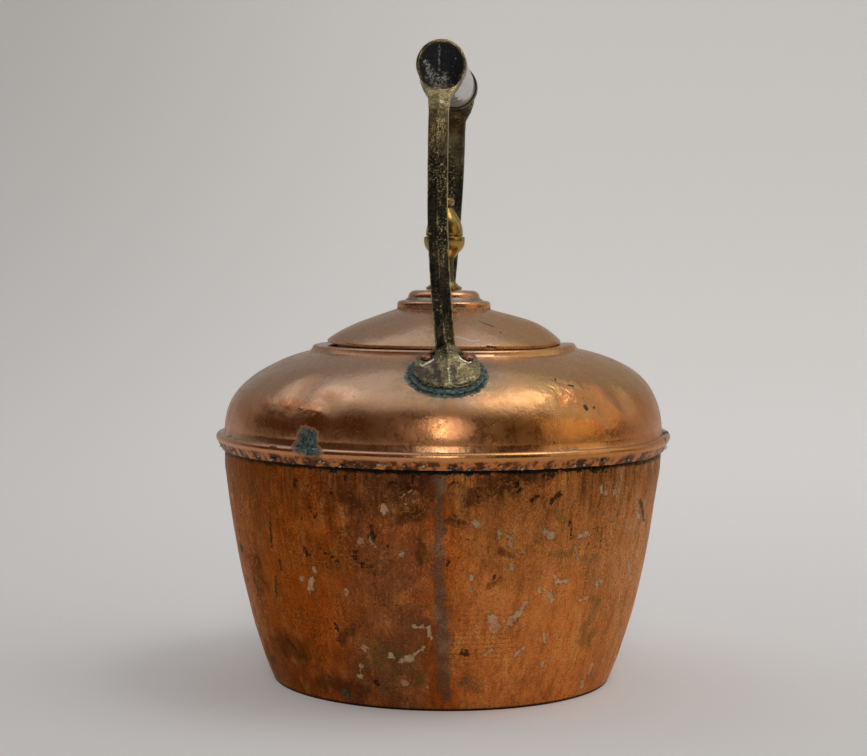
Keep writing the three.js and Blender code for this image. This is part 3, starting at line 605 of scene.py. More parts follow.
class Steps:
    """The node tree of a finish or a group, with a short way to add each kind of step."""

    def __init__(self, tree, vector=None):
        self.tree = tree
        self.vector = vector

    def fill(self, node, inputs):
        """Links or fills a node's inputs."""
        for name, value in inputs.items():
            if isinstance(value, bpy.types.NodeSocket):
                self.tree.links.new(value, node.inputs[name])
            else:
                node.inputs[name].default_value = value

    def put(self, kind, inputs, **settings):
        """Adds a node and sets it up. Gives its outputs."""
        node = self.tree.nodes.new(kind)
        for name, value in settings.items():
            setattr(node, name, value)
        self.fill(node, inputs)
        return node.outputs

    def calculate(self, operation, first, second=0.0, clamp=False):
        """The result of a Math node."""
        return self.put("ShaderNodeMath", {0: first, 1: second}, operation=operation, use_clamp=clamp)[0]

    def times(self, first, second):
        """One number times another."""
        return self.calculate("MULTIPLY", first, second)

    def plus(self, first, second):
        """One number plus another."""
        return self.calculate("ADD", first, second)

    def minus(self, first, second, clamp=False):
        """One number less another."""
        return self.calculate("SUBTRACT", first, second, clamp)

    def larger(self, first, second):
        """The larger of two numbers."""
        return self.calculate("MAXIMUM", first, second)

    def blend(self, share, first, second):
        """Two colours mixed by a share."""
        inputs = {0: share, 6: first, 7: second}
        return self.put("ShaderNodeMix", inputs, data_type="RGBA", clamp_factor=True)[2]

    def mix(self, share, first, second):
        """Two numbers mixed by a share."""
        inputs = {0: share, 2: first, 3: second}
        return self.put("ShaderNodeMix", inputs, data_type="FLOAT", clamp_factor=True)[0]

    def fade(self, value, low, high):
        """0 at a first value, 1 at a second one, and smooth between them."""
        inputs = {"Value": value, "From Min": low, "From Max": high}
        return self.put("ShaderNodeMapRange", inputs, interpolation_type="SMOOTHSTEP")["Result"]

    def noise(self, scale, detail=4.0, roughness=0.55, vector=None):
        """Value of a noise pattern."""
        return self.put("ShaderNodeTexNoise", {
            "Vector": self.vector if vector is None else vector,
            "Scale": scale, "Detail": detail, "Roughness": roughness})[0]

    def squeezed(self, height):
        """The coordinates with their height times a share."""
        inputs = {0: self.vector, 1: (1.0, 1.0, height)}
        return self.put("ShaderNodeVectorMath", inputs, operation="MULTIPLY")[0]

    def xyz(self):
        """The three coordinates as numbers."""
        return self.put("ShaderNodeSeparateXYZ", {0: self.vector})

    def use(self, shared, **inputs):
        """Places a node group on the same coordinates."""
        return self.put("ShaderNodeGroup", {"Vector": self.vector, **inputs}, node_tree=shared)


def node_group(name, inputs, outputs, build):
    """A node group that is built once. Inputs are (name, kind, default), outputs (name, kind)."""
    tree = bpy.data.node_groups.get(name)
    if tree:
        return tree
    tree = bpy.data.node_groups.new(name, "ShaderNodeTree")
    tree.interface.new_socket("Vector", in_out="INPUT", socket_type="NodeSocketVector")
    for socket, kind, default in inputs:
        made = tree.interface.new_socket(socket, in_out="INPUT", socket_type=f"NodeSocket{kind}")
        made.default_value = default
    for socket, kind in outputs:
        tree.interface.new_socket(socket, in_out="OUTPUT", socket_type=f"NodeSocket{kind}")
    given = tree.nodes.new("NodeGroupInput").outputs
    steps = Steps(tree, given["Vector"])
    steps.fill(tree.nodes.new("NodeGroupOutput"), build(steps, given))
    return tree


def cloud_group():
    """Cloudy patches with soft edges."""
    def build(steps, given):
        return {"Mask": steps.fade(steps.noise(given["Scale"], 5.0, 0.6), given["Low"], given["High"])}
    return node_group("Mottle", [("Scale", "Float", 20.0), ("Low", "Float", 0.4), ("High", "Float", 0.6)],
                      [("Mask", "Float")], build)


def streak_group():
    """Streaks that run along Z."""
    def build(steps, given):
        drawn_out = steps.noise(given["Scale"], 4.0, 0.65, steps.squeezed(0.06))
        return {"Mask": steps.fade(drawn_out, given["Low"], given["High"])}
    return node_group("Streaks", [("Scale", "Float", 400.0), ("Low", "Float", 0.4), ("High", "Float", 0.65)],
                      [("Mask", "Float")], build)


def pit_group():
    """Small ragged pits that gather in clusters."""
    def build(steps, given):
        speck = steps.noise(given["Scale"], 3.0, 0.6)
        gathered = steps.fade(steps.noise(55.0, 3.0), 0.4, 0.62)
        return {"Mask": steps.fade(steps.plus(speck, steps.times(gathered, given["Cover"])), 0.72, 0.78)}
    return node_group("Pits", [("Scale", "Float", 600.0), ("Cover", "Float", 0.1)],
                      [("Mask", "Float")], build)


def ragged_group():
    """Turns a painted field into a mark with a ragged edge."""
    def build(steps, given):
        swing = steps.times(steps.minus(steps.noise(given["Scale"], 4.0, 0.6), 0.5), given["Raggedness"])
        field = steps.plus(given["Field"], steps.times(swing, steps.fade(given["Field"], 0.0, 0.3)))
        low = steps.minus(MARK_EDGE, given["Softness"])
        mask = steps.fade(field, low, steps.plus(MARK_EDGE, given["Softness"]))
        return {"Mask": mask, "Rim": steps.minus(steps.fade(field, 0.3, 0.44), mask, clamp=True)}
    return node_group("Ragged Mark", [("Field", "Float", 0.0), ("Scale", "Float", 300.0),
                                      ("Raggedness", "Float", 1.8), ("Softness", "Float", 0.06)],
                      [("Mask", "Float"), ("Rim", "Float")], build)


def scratch_group():
    """Hair-thin scratches in a few directions."""
    def build(steps, given):
        total = 0.0
        for turn, squeeze, scale in ((0.4, 0.05, 260.0), (1.3, 0.04, 210.0), (2.4, 0.06, 300.0)):
            laid = steps.put("ShaderNodeMapping", {"Vector": steps.vector, "Scale": (1.0, squeeze, 1.0),
                                                   "Rotation": (turn, turn * 0.6, turn)})[0]
            line = steps.calculate("ABSOLUTE", steps.minus(steps.noise(scale, 2.0, 0.5, laid), 0.5))
            total = steps.larger(total, steps.minus(1.0, steps.fade(line, 0.002, 0.012)))
        return {"Mask": steps.times(total, steps.fade(steps.noise(60.0, 2.0), 0.5, 0.7))}
    return node_group("Scratches", [], [("Mask", "Float")], build)


def crust_group():
    """Colour and height of a green crust."""
    def build(steps, given):
        grain = steps.noise(800.0, 5.0, 0.75)
        colour = steps.blend(steps.fade(grain, 0.44, 0.58), given["Dark"], given["Green"])
        pale = steps.times(steps.fade(steps.noise(330.0, 4.0, 0.7), 0.54, 0.64), 0.7)
        return {"Color": steps.blend(pale, colour, PALE_CRUST), "Height": grain}
    return node_group("Green Crust", [("Green", "Color", (0.1, 0.2, 0.18, 1)),
                                      ("Dark", "Color", (0.02, 0.04, 0.03, 1))],
                      [("Color", "Color"), ("Height", "Float")], build)


class Finish(Steps):
    """A finish laid on coat by coat, with its colour and its relief so far."""

    def __init__(self, name):
        self.material = bpy.data.materials.new(f"worn {name}")
        self.material.use_nodes = True
        super().__init__(self.material.node_tree)
        self.shader = self.tree.nodes["Principled BSDF"]
        self.vector = self.put("ShaderNodeTexCoord", {})["Object"]
        self.colour = None
        self.relief = None

    def painted(self, name):
        """The value of a painted attribute."""
        return self.put("ShaderNodeAttribute", {}, attribute_name=name)["Fac"]

    def clouds(self, scale, low, high):
        """Mask of cloudy patches."""
        return self.use(cloud_group(), Scale=scale, Low=low, High=high)["Mask"]

    def streaks(self, scale, low, high):
        """Mask of upright streaks."""
        return self.use(streak_group(), Scale=scale, Low=low, High=high)["Mask"]

    def pits(self, scale, cover):
        """Mask of small pits."""
        return self.use(pit_group(), Scale=scale, Cover=cover)["Mask"]

    def marks(self, name, scale, raggedness, softness=0.06):
        """Mask of painted marks with ragged edges, and the rim round them."""
        return self.use(ragged_group(), Field=self.painted(name), Scale=scale, Raggedness=raggedness,
                        Softness=softness)

    def coat(self, mask, colour, strength=None):
        """Lays a colour over the finish where a mask is, at a strength or in full."""
        share = mask if strength is None else self.times(mask, strength)
        self.colour = self.blend(share, self.colour, colour)

    def coat_marks(self, name, scale, raggedness, softness, colour, strength=None):
        """Lays a colour over painted marks and gives their mask."""
        mask = self.marks(name, scale, raggedness, softness)["Mask"]
        self.coat(mask, colour, strength)
        return mask

    def coat_crust(self, mask, colours):
        """Lays the green crust and gives its height."""
        crust = self.use(crust_group(), Green=colours.verdigris, Dark=colours.verdigris_dark)
        self.coat(mask, crust["Color"])
        return crust["Height"]

    def swell(self, height, amount):
        """Adds a pattern to the relief."""
        part = self.times(height, amount)
        self.relief = part if self.relief is None else self.plus(self.relief, part)

    def done(self, depth, roughness, metal=0.0, **sockets):
        """Links the colour, the gloss and the relief to the shader. Gives the material."""
        normal = self.put("ShaderNodeBump", {"Height": self.relief, "Distance": depth, "Strength": 1.0})[0]
        self.fill(self.shader, {"Base Color": self.colour, "Roughness": roughness, "Metallic": metal,
                                "Normal": normal})
        self.fill(self.shader, {name.replace("_", " "): value for name, value in sockets.items()})
        return self.material


# Finishes

def wall_copper(colours):
    """Worn orange copper of the lower wall, with streaks, rings, pits and splashes."""
    wall = Finish("wall_copper")
    masks = wall_masks(wall)
    lay_wall_ground(wall, masks, colours)
    lay_wall_streaks(wall, masks, colours)
    lay_wall_stains(wall, masks, colours)
    lay_wall_grain(wall, masks, colours)
    lay_wall_marks(wall, masks, colours)
    raise_wall_relief(wall, masks)
    crusted = wall.larger(wall.times(masks.pale, 0.4), masks.green)
    roughness = wall.mix(crusted, wall.mix(masks.grain, 0.22, 0.36), 0.7)
    roughness = wall.mix(masks.brown, roughness, 0.4)
    return wall.done(0.0004, roughness, wall.mix(crusted, 0.94, 0.0), Specular_Tint=WALL_SHEEN)


def wall_masks(wall):
    """Patterns and places that several coats of the wall share."""
    masks = SimpleNamespace()
    masks.broad = wall.clouds(22.0, 0.36, 0.66)
    masks.medium = wall.clouds(110.0, 0.42, 0.68)
    masks.streaks = wall.streaks(520.0, 0.42, 0.66)
    masks.side, depth, masks.height = wall.xyz()
    masks.rough_noise = wall.noise(330.0, 6.0, 0.7)
    masks.squeezed = wall.squeezed(0.35)
    reach = wall.put("ShaderNodeVectorMath", {0: wall.squeezed(0.0)}, operation="LENGTH")["Value"]
    masks.on_wall = wall.fade(reach, 0.1045, 0.1032)
    ragged_height = wall.plus(masks.height, wall.times(masks.medium, -0.012))
    masks.upper = wall.times(wall.fade(ragged_height, 0.062, 0.098), masks.on_wall)
    masks.patchy = wall.fade(wall.noise(70.0, 4.0, 0.6), 0.42, 0.6)
    masks.bleached = wall.times(wall.fade(depth, 0.05, 0.0), wall.mix(masks.patchy, 0.55, 1.0))
    masks.right_edge = wall.times(wall.fade(masks.side, 0.052, 0.084), masks.bleached)
    masks.crinkle = wall.noise(170.0, 5.0, 0.65, masks.squeezed)
    masks.rough_area = wall.fade(wall.plus(wall.painted("rough"), wall.times(masks.broad, 0.25)), 0.25, 0.6)
    return masks


def lay_wall_ground(wall, masks, colours):
    """Broad tones: brown to orange, glowing right of the seam, deep at the left edge, and a painted grey
    sheen of reflected light towards the right edge.
    """
    side = masks.side
    wall.colour = wall.blend(masks.broad, colours.copper_brown, colours.copper_orange)
    wall.coat(masks.medium, colours.copper_bright, 0.55)
    wall.coat(wall.fade(side, -0.006, 0.014), colours.copper_glow, 0.85)
    # Painted sheen: grey reflected light towards the wall's right edge, in patches on the front.
    wall.coat(wall.times(wall.fade(side, 0.05, 0.092), masks.bleached), colours.copper_grey, 0.55)
    cloudy = wall.noise(85.0, 6.0, 0.72, masks.squeezed)
    wall.coat(wall.fade(cloudy, 0.53, 0.62), CLOUD_BROWN, 0.4)
    wall.coat(wall.fade(cloudy, 0.46, 0.37), CLOUD_BRIGHT, 0.45)
    left_of_seam = wall.times(wall.fade(side, -0.055, -0.03), wall.fade(side, 0.0, -0.012))
    wall.coat(left_of_seam, colours.copper_grey, 0.17)
    wall.coat(wall.fade(side, -0.01, -0.08), colours.copper_deep, 0.5)
    beside_seam = wall.fade(wall.calculate("ABSOLUTE", side), 0.022, 0.006)
    wall.coat(masks.upper, UPPER_BROWN, wall.mix(beside_seam, 0.46, 0.1))


def lay_wall_streaks(wall, masks, colours):
    """Upright streaks, painted highlights on the crests and painted shade in the troughs of the crinkled
    right edge, and the turning rings low on the wall.
    """
    wall.coat(masks.streaks, colours.copper_dark, wall.mix(masks.upper, 0.26, 0.6))
    wall.coat(wall.streaks(130.0, 0.45, 0.7), colours.copper_brown, 0.2)
    wall.coat(wall.streaks(760.0, 0.55, 0.7), colours.copper_bright, 0.35)
    # Painted highlights on the crinkle crests and painted shade in the troughs, at the right edge.
    wall.coat(wall.times(wall.fade(masks.crinkle, 0.5, 0.62), masks.right_edge), colours.copper_crest_highlight, 0.55)
    wall.coat(wall.times(wall.fade(masks.crinkle, 0.47, 0.38), masks.right_edge), colours.copper_brown, 0.7)
    wave = wall.calculate("SINE", wall.times(masks.height, 2 * math.pi / RING_PITCH))
    above_band = wall.fade(masks.height, 0.04, 0.05)
    in_band = wall.times(wall.fade(masks.height, 0.018, 0.026), wall.minus(1.0, above_band))
    broken = wall.fade(wall.noise(35.0, 3.0), 0.42, 0.6)
    masks.rings = wall.times(wall.fade(wave, 0.35, 0.95), wall.times(in_band, broken))
    wall.coat(masks.rings, colours.copper_brown, 0.26)


def lay_wall_stains(wall, masks, colours):
    """Brown and olive stains, the wall's own seam, pits, glints and specks."""
    masks.brown = wall.coat_marks("brown", 170.0, 3.0, 0.4, STAIN_BROWN, 0.7)
    wall.coat_marks("olive", 190.0, 3.2, 0.45, STAIN_OLIVE, 0.55)
    wall.coat_marks("seam", 140.0, 1.5, 0.2, wall.blend(masks.medium, SEAM_DARK, SEAM_PALE), 0.78)
    masks.pits = wall.times(wall.pits(620.0, 0.13), wall.mix(masks.rough_area, 0.5, 1.0))
    wall.coat(masks.pits, colours.copper_dark, 0.7)
    glints = wall.fade(wall.noise(760.0, 4.0, 0.65), 0.58, 0.68)
    wall.coat(glints, colours.copper_bright, wall.mix(masks.rough_area, 0.45, 0.95))
    wall.coat(wall.fade(wall.noise(980.0, 3.0, 0.6), 0.58, 0.68), colours.copper_brown, 0.6)


def lay_wall_grain(wall, masks, colours):
    """Fine light and dark grain, painted highlights on the rims of the hammered cells and a painted contact
    shadow along the base.
    """
    side = masks.side
    masks.grain = wall.fade(wall.noise(1300.0, 6.0, 0.8), 0.36, 0.64)
    shade = wall.mix(masks.grain, wall.mix(masks.patchy, 0.94, 0.72), wall.mix(masks.patchy, 1.08, 1.4))
    lift = wall.mix(wall.fade(side, -0.005, 0.02), 1.1, 1.25)
    lift = wall.mix(wall.fade(side, 0.045, 0.065), lift, 1.08)
    inputs = {0: wall.colour, "Scale": wall.times(shade, lift)}
    wall.colour = wall.put("ShaderNodeVectorMath", inputs, operation="SCALE")[0]
    cell_inputs = {"Vector": wall.vector, "Scale": 330.0, "Randomness": 1.0}
    cells = wall.put("ShaderNodeTexVoronoi", cell_inputs)["Distance"]
    rim = wall.minus(wall.fade(cells, 0.34, 0.46), wall.fade(cells, 0.5, 0.62), clamp=True)
    broken = wall.times(masks.rough_area, wall.fade(masks.rough_noise, 0.42, 0.58))
    masks.cell_rim = wall.times(rim, broken)
    # Painted highlights on the rims of the hammered cells.
    wall.coat(masks.cell_rim, HAMMERED_RIM_HIGHLIGHT, 0.5)
    # Painted contact shadow: a dark line along the base.
    wall.coat(wall.fade(masks.height, 0.0016, 0.0005), colours.copper_dark)


def lay_wall_marks(wall, masks, colours):
    """Black drips, pale splashes, the shadow under the fold, green spots and the tinned inside."""
    wall.coat_marks("dark", 620.0, 3.4, 0.2, DRIP_BLACK, 0.88)
    pale = wall.marks("pale", 560.0, 2.2, 0.16)
    masks.pale = pale["Mask"]
    wall.coat(pale["Rim"], colours.copper_dark, 0.7)
    scale_tone = wall.blend(masks.medium, colours.copper_pale, PINK_SCALE)
    wall.coat(masks.pale, scale_tone, wall.fade(masks.rough_noise, 0.3, 0.56))
    ragged_height = wall.plus(masks.height, wall.times(wall.minus(masks.rough_noise, 0.5), 0.006))
    shadow_tone = wall.blend(wall.fade(masks.rough_noise, 0.5, 0.66), UNDER_FOLD, colours.verdigris_dark)
    wall.coat(wall.fade(ragged_height, 0.1009, 0.1019), shadow_tone, masks.on_wall)
    masks.green = wall.marks("green", 300.0, 1.0)["Mask"]
    wall.coat_crust(masks.green, colours)
    wall.coat(wall.painted("inside"), colours.tin)


def raise_wall_relief(wall, masks):
    """Swells, crinkles, hammered cells and pits of the wall."""
    for height, amount in (
            (masks.grain, 0.4), (wall.noise(75.0, 2.0, 0.5), 3.2),
            (masks.crinkle, wall.mix(masks.right_edge, 1.2, 9.0)),
            (masks.cell_rim, 3.0), (masks.streaks, -0.25),
            (masks.rough_noise, wall.mix(masks.rough_area, 1.6, 9.5)),
            (masks.pits, -1.2), (masks.rings, -0.6), (masks.pale, -0.4), (masks.green, 0.8)):
        wall.swell(height, amount)


def satin_copper(name, colours):
    """Cleaned satin copper of the shoulder and the lid, with faint clouds, scratches and crusts, painted
    warm light on the right side and a painted sheen on upward faces.
    """
    satin = Finish(name)
    medium = satin.clouds(90.0, 0.4, 0.7)
    fine = satin.clouds(700.0, 0.35, 0.7)
    # Painted warm light from the right, and a painted sheen on upward faces.
    cloudy_side = satin.plus(satin.xyz()[0], satin.times(satin.clouds(16.0, 0.38, 0.62), 0.04))
    warm_light_share = satin.fade(cloudy_side, 0.0, 0.075)
    satin.colour = satin.blend(warm_light_share, colours.satin_pink, colours.satin_gold_warm_light)
    satin.coat(satin.painted("top"), satin.blend(warm_light_share, colours.satin_top_sheen, colours.satin_top_gold_sheen), 0.85)
    satin.coat(medium, colours.satin_brown, 0.3)
    satin.coat_marks("brown", 110.0, 2.0, 0.3, colours.copper_orange, 0.32)
    pits = satin.pits(560.0, 0.06)
    satin.coat(pits, colours.copper_brown, 0.25)
    fold = satin.painted("fold")
    lumps = satin.noise(210.0, 5.0, 0.65)
    fold_tone = satin.blend(satin.fade(lumps, 0.42, 0.58), FOLD_DARK, FOLD_BRIGHT)
    stain = satin.times(satin.fade(satin.noise(120.0, 4.0, 0.6), 0.56, 0.66), 0.7)
    satin.coat(fold, satin.blend(stain, fold_tone, colours.verdigris_dark), 0.92)
    dark = satin.coat_marks("dark", 420.0, 0.8, 0.06, SPOT_BLACK, 0.85)
    satin.coat_marks("pale", 500.0, 0.4, 0.06, SPLASH_GREY)
    halo = satin.times(satin.painted("halo"), satin.fade(satin.noise(240.0, 5.0, 0.7), 0.4, 0.62))
    satin.coat(halo, colours.verdigris, 0.6)
    green = satin.marks("green", 620.0, 1.0, 0.28)["Mask"]
    crust_height = satin.coat_crust(green, colours)
    satin.coat(satin.painted("inside"), colours.tin)
    roughness = satin.mix(medium, satin.mix(fine, 0.2, 0.29), 0.34)
    roughness = satin.mix(satin.larger(green, dark), satin.mix(fold, roughness, 0.36), 0.8)
    metal = satin.mix(satin.larger(green, satin.times(dark, 0.6)), 1.0, 0.0)
    for height, amount in (
            (satin.noise(150.0, 3.0, 0.5), 0.7), (fine, 0.04), (satin.use(scratch_group())["Mask"], -0.12),
            (pits, -0.15), (satin.noise(210.0, 3.0, 0.5), satin.times(satin.painted("rough"), 4.0)),
            (lumps, satin.times(fold, 7.0)), (satin.times(green, satin.plus(crust_height, 0.6)), 1.5)):
        satin.swell(height, amount)
    return satin.done(0.0002, roughness, metal)


def cast_brass(colours):
    """Dark patina of the cast brackets, worn bright on the arrises, black in the dishes, with a painted
    highlight on faces turned to the right, painted glint flecks and a painted shadow under the foot's rim.
    """
    brass = Finish("cast_brass")
    medium = brass.clouds(140.0, 0.42, 0.62)
    ragged_edge = brass.plus(brass.painted("edge"), brass.times(brass.minus(medium, 0.5), 0.06))
    bright = brass.times(brass.painted("bright"), brass.mix(medium, 0.4, 0.95))
    # Arrises worn bright, the foot and the bar's top made lighter, and a painted highlight on faces turned
    # to the right.
    rubbed_and_lit = brass.larger(brass.fade(ragged_edge, 0.03, 0.16), bright)
    brass.colour = brass.blend(brass.times(medium, 0.6), colours.brass_dark, CAST_OLIVE)
    drawn_out = brass.squeezed(0.22)
    brass.coat(brass.fade(brass.noise(300.0, 5.0, 0.7, drawn_out), 0.4, 0.54), CAST_SOOT, 0.95)
    # Painted glints: bright flecks gathered in drawn-out clusters.
    gathered = brass.fade(brass.noise(170.0, 3.0, 0.6, drawn_out), 0.44, 0.58)
    glint_flecks = brass.times(brass.fade(brass.noise(1300.0, 4.0, 0.7), 0.52, 0.62), gathered)
    brass.coat(glint_flecks, colours.brass_bright, 0.8)
    brass.coat(rubbed_and_lit, colours.brass_bright)
    brass.coat(brass.clouds(900.0, 0.35, 0.68), colours.brass_dark, 0.55)
    black = brass.painted("black")
    sparkle = brass.fade(brass.noise(1500.0, 2.0, 0.5), 0.66, 0.74)
    brass.coat(black, brass.blend(sparkle, colours.brass_black, SPARKLE_BLUE))
    crystals = brass.fade(brass.noise(1250.0, 4.0, 0.65), 0.4, 0.62)
    brass.coat_marks("frost", 520.0, 2.6, 0.4, FROST_GREY, crystals)
    green = brass.marks("green", 260.0, 1.0)["Mask"]
    brass.coat_crust(green, colours)
    # Purple-black stains, and a painted shadow along the foot's lower rim.
    brass.coat_marks("stain", 340.0, 2.4, 0.3, STAIN_AND_SHADOW_PURPLE, 0.75)
    brass.coat_marks("cream", 500.0, 1.4, 0.3, CREAM)
    brass.swell(brass.noise(700.0, 4.0, 0.6), 1.0)
    brass.swell(brass.pits(700.0, 0.9), -0.8)
    roughness = brass.mix(black, brass.mix(rubbed_and_lit, 0.2, 0.18), 0.5)
    metal = brass.mix(brass.larger(green, brass.times(black, 0.6)), 0.9, 0.1)
    return brass.done(0.00045, roughness, metal)


def polished_brass(colours):
    """Bright brass with grime in its grooves."""
    brass = Finish("polished_brass")
    brass.colour = brass.blend(brass.times(brass.clouds(160.0, 0.45, 0.75), 0.5), BRASS_GOLD, BRASS_BROWN)
    brass.coat(brass.streaks(420.0, 0.45, 0.65), BRASS_STREAK, 0.6)
    grime = brass.coat_marks("grime", 420.0, 1.2, 0.2, colours.brass_dark, 0.8)
    roughness = brass.mix(grime, brass.mix(brass.clouds(900.0, 0.35, 0.7), 0.16, 0.28), 0.5)
    brass.swell(brass.noise(300.0, 4.0, 0.5), 1.0)
    return brass.done(0.00015, roughness, 1.0)


def milk_glass(colours):
    """Opaque white glass with faint clouds."""
    glass = Finish("milk_glass")
    glass.colour = glass.blend(glass.times(glass.clouds(60.0, 0.3, 0.75), 0.4), colours.glass, GLASS_SHADE)
    glass.swell(glass.noise(70.0, 2.0, 0.4), 1.0)
    return glass.done(0.0003, 0.09, Subsurface_Weight=0.15, Subsurface_Radius=GLASS_DEPTH)


def plain_metal(name, colours, colour, dark, roughness, crusted=0.0):
    """Dull metal with clouds of tarnish, and a green crust where it has one."""
    metal = Finish(name)
    metal.colour = metal.blend(metal.times(metal.clouds(240.0, 0.38, 0.66), 0.8), colour, dark)
    shine = 0.95
    if crusted:
        level = 0.62 - 0.4 * crusted
        cover = metal.fade(metal.noise(260.0, 4.0, 0.6), level, level + 0.1)
        metal.coat_crust(cover, colours)
        shine = metal.mix(cover, 0.9, 0.0)
    metal.swell(metal.noise(600.0, 4.0, 0.6), 1.0)
    gloss = metal.mix(metal.clouds(1100.0, 0.35, 0.7), roughness, roughness + 0.15)
    return metal.done(0.00015, gloss, shine)


FINISHES = {
    "wall_copper": wall_copper,
    "shoulder_copper": lambda colours: satin_copper("shoulder_copper", colours),
    "lid_copper": lambda colours: satin_copper("lid_copper", colours),
    "cast_brass": cast_brass,
    "polished_brass": polished_brass,
    "milk_glass": milk_glass,
    "base_copper": lambda colours: plain_metal(
        "base_copper", colours, colours.copper_brown, colours.copper_dark, 0.45),
    "tinned_copper": lambda colours: plain_metal(
        "tinned_copper", colours, colours.satin_brown, colours.tin, 0.35),
    "rivet_copper": lambda colours: plain_metal(
        "rivet_copper", colours, RIVET_PINK, colours.copper_brown, 0.22),
    "dull_brass": lambda colours: plain_metal(
        "dull_brass", colours, colours.brass_bright, colours.brass_dark, 0.35),
    "dull_iron": lambda colours: plain_metal("dull_iron", colours, colours.iron, IRON_DARK, 0.5),
    "bright_solder": lambda colours: plain_metal(
        "bright_solder", colours, colours.solder, SOLDER_DARK, 0.22),
    "green_solder": lambda colours: plain_metal(
        "green_solder", colours, OLD_SOLDER, OLD_SOLDER_DARK, 0.6, crusted=0.75),
}


def finish_named(name):
    """A finish, made the first time that it is asked for."""
    return bpy.data.materials.get(f"worn {name}") or FINISHES[name](bpy.context.scene.kettle_colours)


def dress(piece, finish):
    """Gives a piece its finish in place of what it wears."""
    piece.data.materials.clear()
    piece.data.materials.append(finish_named(finish))


def finish_piece(piece, body, finish, nodes=()):
    """Applies a piece's place, smooths it, gives it its finish and hangs it on its body."""
    pick(piece)
    bpy.ops.object.transform_apply(location=True, rotation=True, scale=True)
    bpy.ops.object.shade_smooth_by_angle(angle=SMOOTH_ANGLE)
    dress(piece, finish)
    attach(piece, body)
    if nodes:
        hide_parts(*nodes)


# Places of marks in the photograph: first column, first row, last column, last row, half width
WALL_PALE = (
    (384, 506, 384, 512, 3.2), (311, 582, 311, 588, 3.6), (302, 578, 303, 579, 1.8),
    (314, 568, 315, 576, 1.8), (346, 590, 346, 595, 2.0), (360, 540, 361, 542, 3.0),
    (369, 539, 375, 547, 1.4), (401, 553, 401, 556, 2.4), (412, 626, 427, 627, 1.6),
    (428, 628, 430, 636, 2.0), (430, 636, 433, 640, 1.6), (364, 647, 365, 649, 2.8),
    (402, 661, 410, 659, 3.2), (411, 657, 424, 647, 1.6), (390, 655, 392, 658, 2.4),
    (361, 666, 361, 667, 2.4), (360, 676, 361, 677, 2.8), (402, 682, 405, 684, 3.0),
    (427, 686, 427, 687, 1.8), (474, 522, 479, 527, 2.8), (499, 532, 499, 538, 2.4),
    (510, 536, 510, 545, 3.0), (547, 533, 552, 536, 3.8), (580, 536, 588, 533, 2.8),
    (515, 552, 524, 552, 1.6), (511, 565, 512, 568, 2.6), (554, 575, 557, 582, 1.8),
    (557, 582, 566, 581, 2.4), (471, 575, 472, 579, 2.2), (472, 586, 472, 590, 1.6),
    (493, 618, 495, 627, 5.4), (525, 603, 519, 614, 2.4), (517, 616, 509, 623, 3.4),
    (549, 594, 553, 601, 2.6), (539, 588, 540, 591, 2.0), (580, 600, 588, 597, 1.8),
    (597, 583, 597, 587, 2.2), (600, 580, 601, 582, 1.8), (485, 655, 492, 650, 1.6),
    (515, 655, 523, 648, 1.8), (544, 633, 545, 641, 1.6), (557, 636, 557, 639, 1.4),
    (543, 663, 543, 666, 2.0), (582, 682, 582, 687, 2.2), (589, 674, 592, 664, 1.6),
    (614, 492, 615, 494, 2.2), (601, 487, 602, 493, 1.8), (606, 491, 606, 495, 1.6),
    (400, 498, 412, 490, 1.2), (404, 505, 420, 499, 1.2), (636, 510, 640, 520, 1.4),
    (628, 560, 631, 580, 1.2), (575, 547, 578, 560, 1.2),
)
WALL_DARK = (
    (295, 478, 295, 487, 1.6), (308, 484, 309, 506, 0.9), (310, 506, 313, 516, 1.0),
    (313, 518, 318, 514, 0.9), (276, 576, 276, 596, 1.0), (372, 530, 373, 536, 3.8),
    (356, 553, 355, 557, 2.6), (305, 550, 308, 554, 2.4), (270, 522, 272, 548, 0.9),
    (302, 518, 306, 514, 0.9), (322, 552, 330, 556, 0.9), (330, 556, 340, 562, 0.9),
    (362, 560, 363, 568, 1.2), (386, 545, 387, 552, 1.2), (448, 562, 448, 564, 2.2),
    (517, 484, 518, 491, 2.4), (546, 476, 553, 475, 2.8), (533, 498, 536, 498, 3.0),
    (551, 502, 554, 499, 2.8), (560, 494, 560, 496, 2.4), (594, 471, 597, 471, 2.2),
    (604, 471, 605, 471, 1.8), (509, 536, 510, 538, 1.6), (464, 653, 466, 654, 3.0),
    (495, 576, 493, 580, 1.2), (376, 681, 379, 684, 1.6), (335, 622, 338, 630, 1.4),
    (280, 560, 282, 572, 1.0), (288, 640, 296, 650, 0.9), (570, 520, 572, 540, 1.2),
    (640, 500, 644, 520, 1.4), (330, 486, 331, 494, 1.2), (392, 478, 393, 489, 1.0),
    (345, 476, 346, 484, 1.0), (412, 476, 413, 484, 1.0),
)
WALL_BROWN = (
    (466, 481, 545, 478, 6.0), (466, 493, 512, 488, 8.0), (468, 503, 482, 500, 5.0),
    (341, 490, 356, 506, 9.0), (398, 522, 416, 516, 7.0), (400, 482, 432, 490, 10.0),
    (450, 519, 463, 522, 4.0), (500, 552, 515, 556, 3.4), (488, 586, 502, 578, 3.0),
    (280, 640, 300, 655, 8.0), (340, 640, 352, 630, 5.0), (255, 560, 262, 590, 5.0),
    (420, 540, 424, 560, 5.0), (320, 680, 360, 692, 7.0),
)
WALL_OLIVE = (
    (378, 652, 392, 674, 13.0), (404, 668, 420, 680, 7.0), (553, 554, 570, 554, 3.0),
    (582, 559, 598, 558, 3.0), (594, 602, 584, 642, 6.0), (466, 684, 476, 686, 6.0),
    (556, 512, 562, 518, 4.0),
)
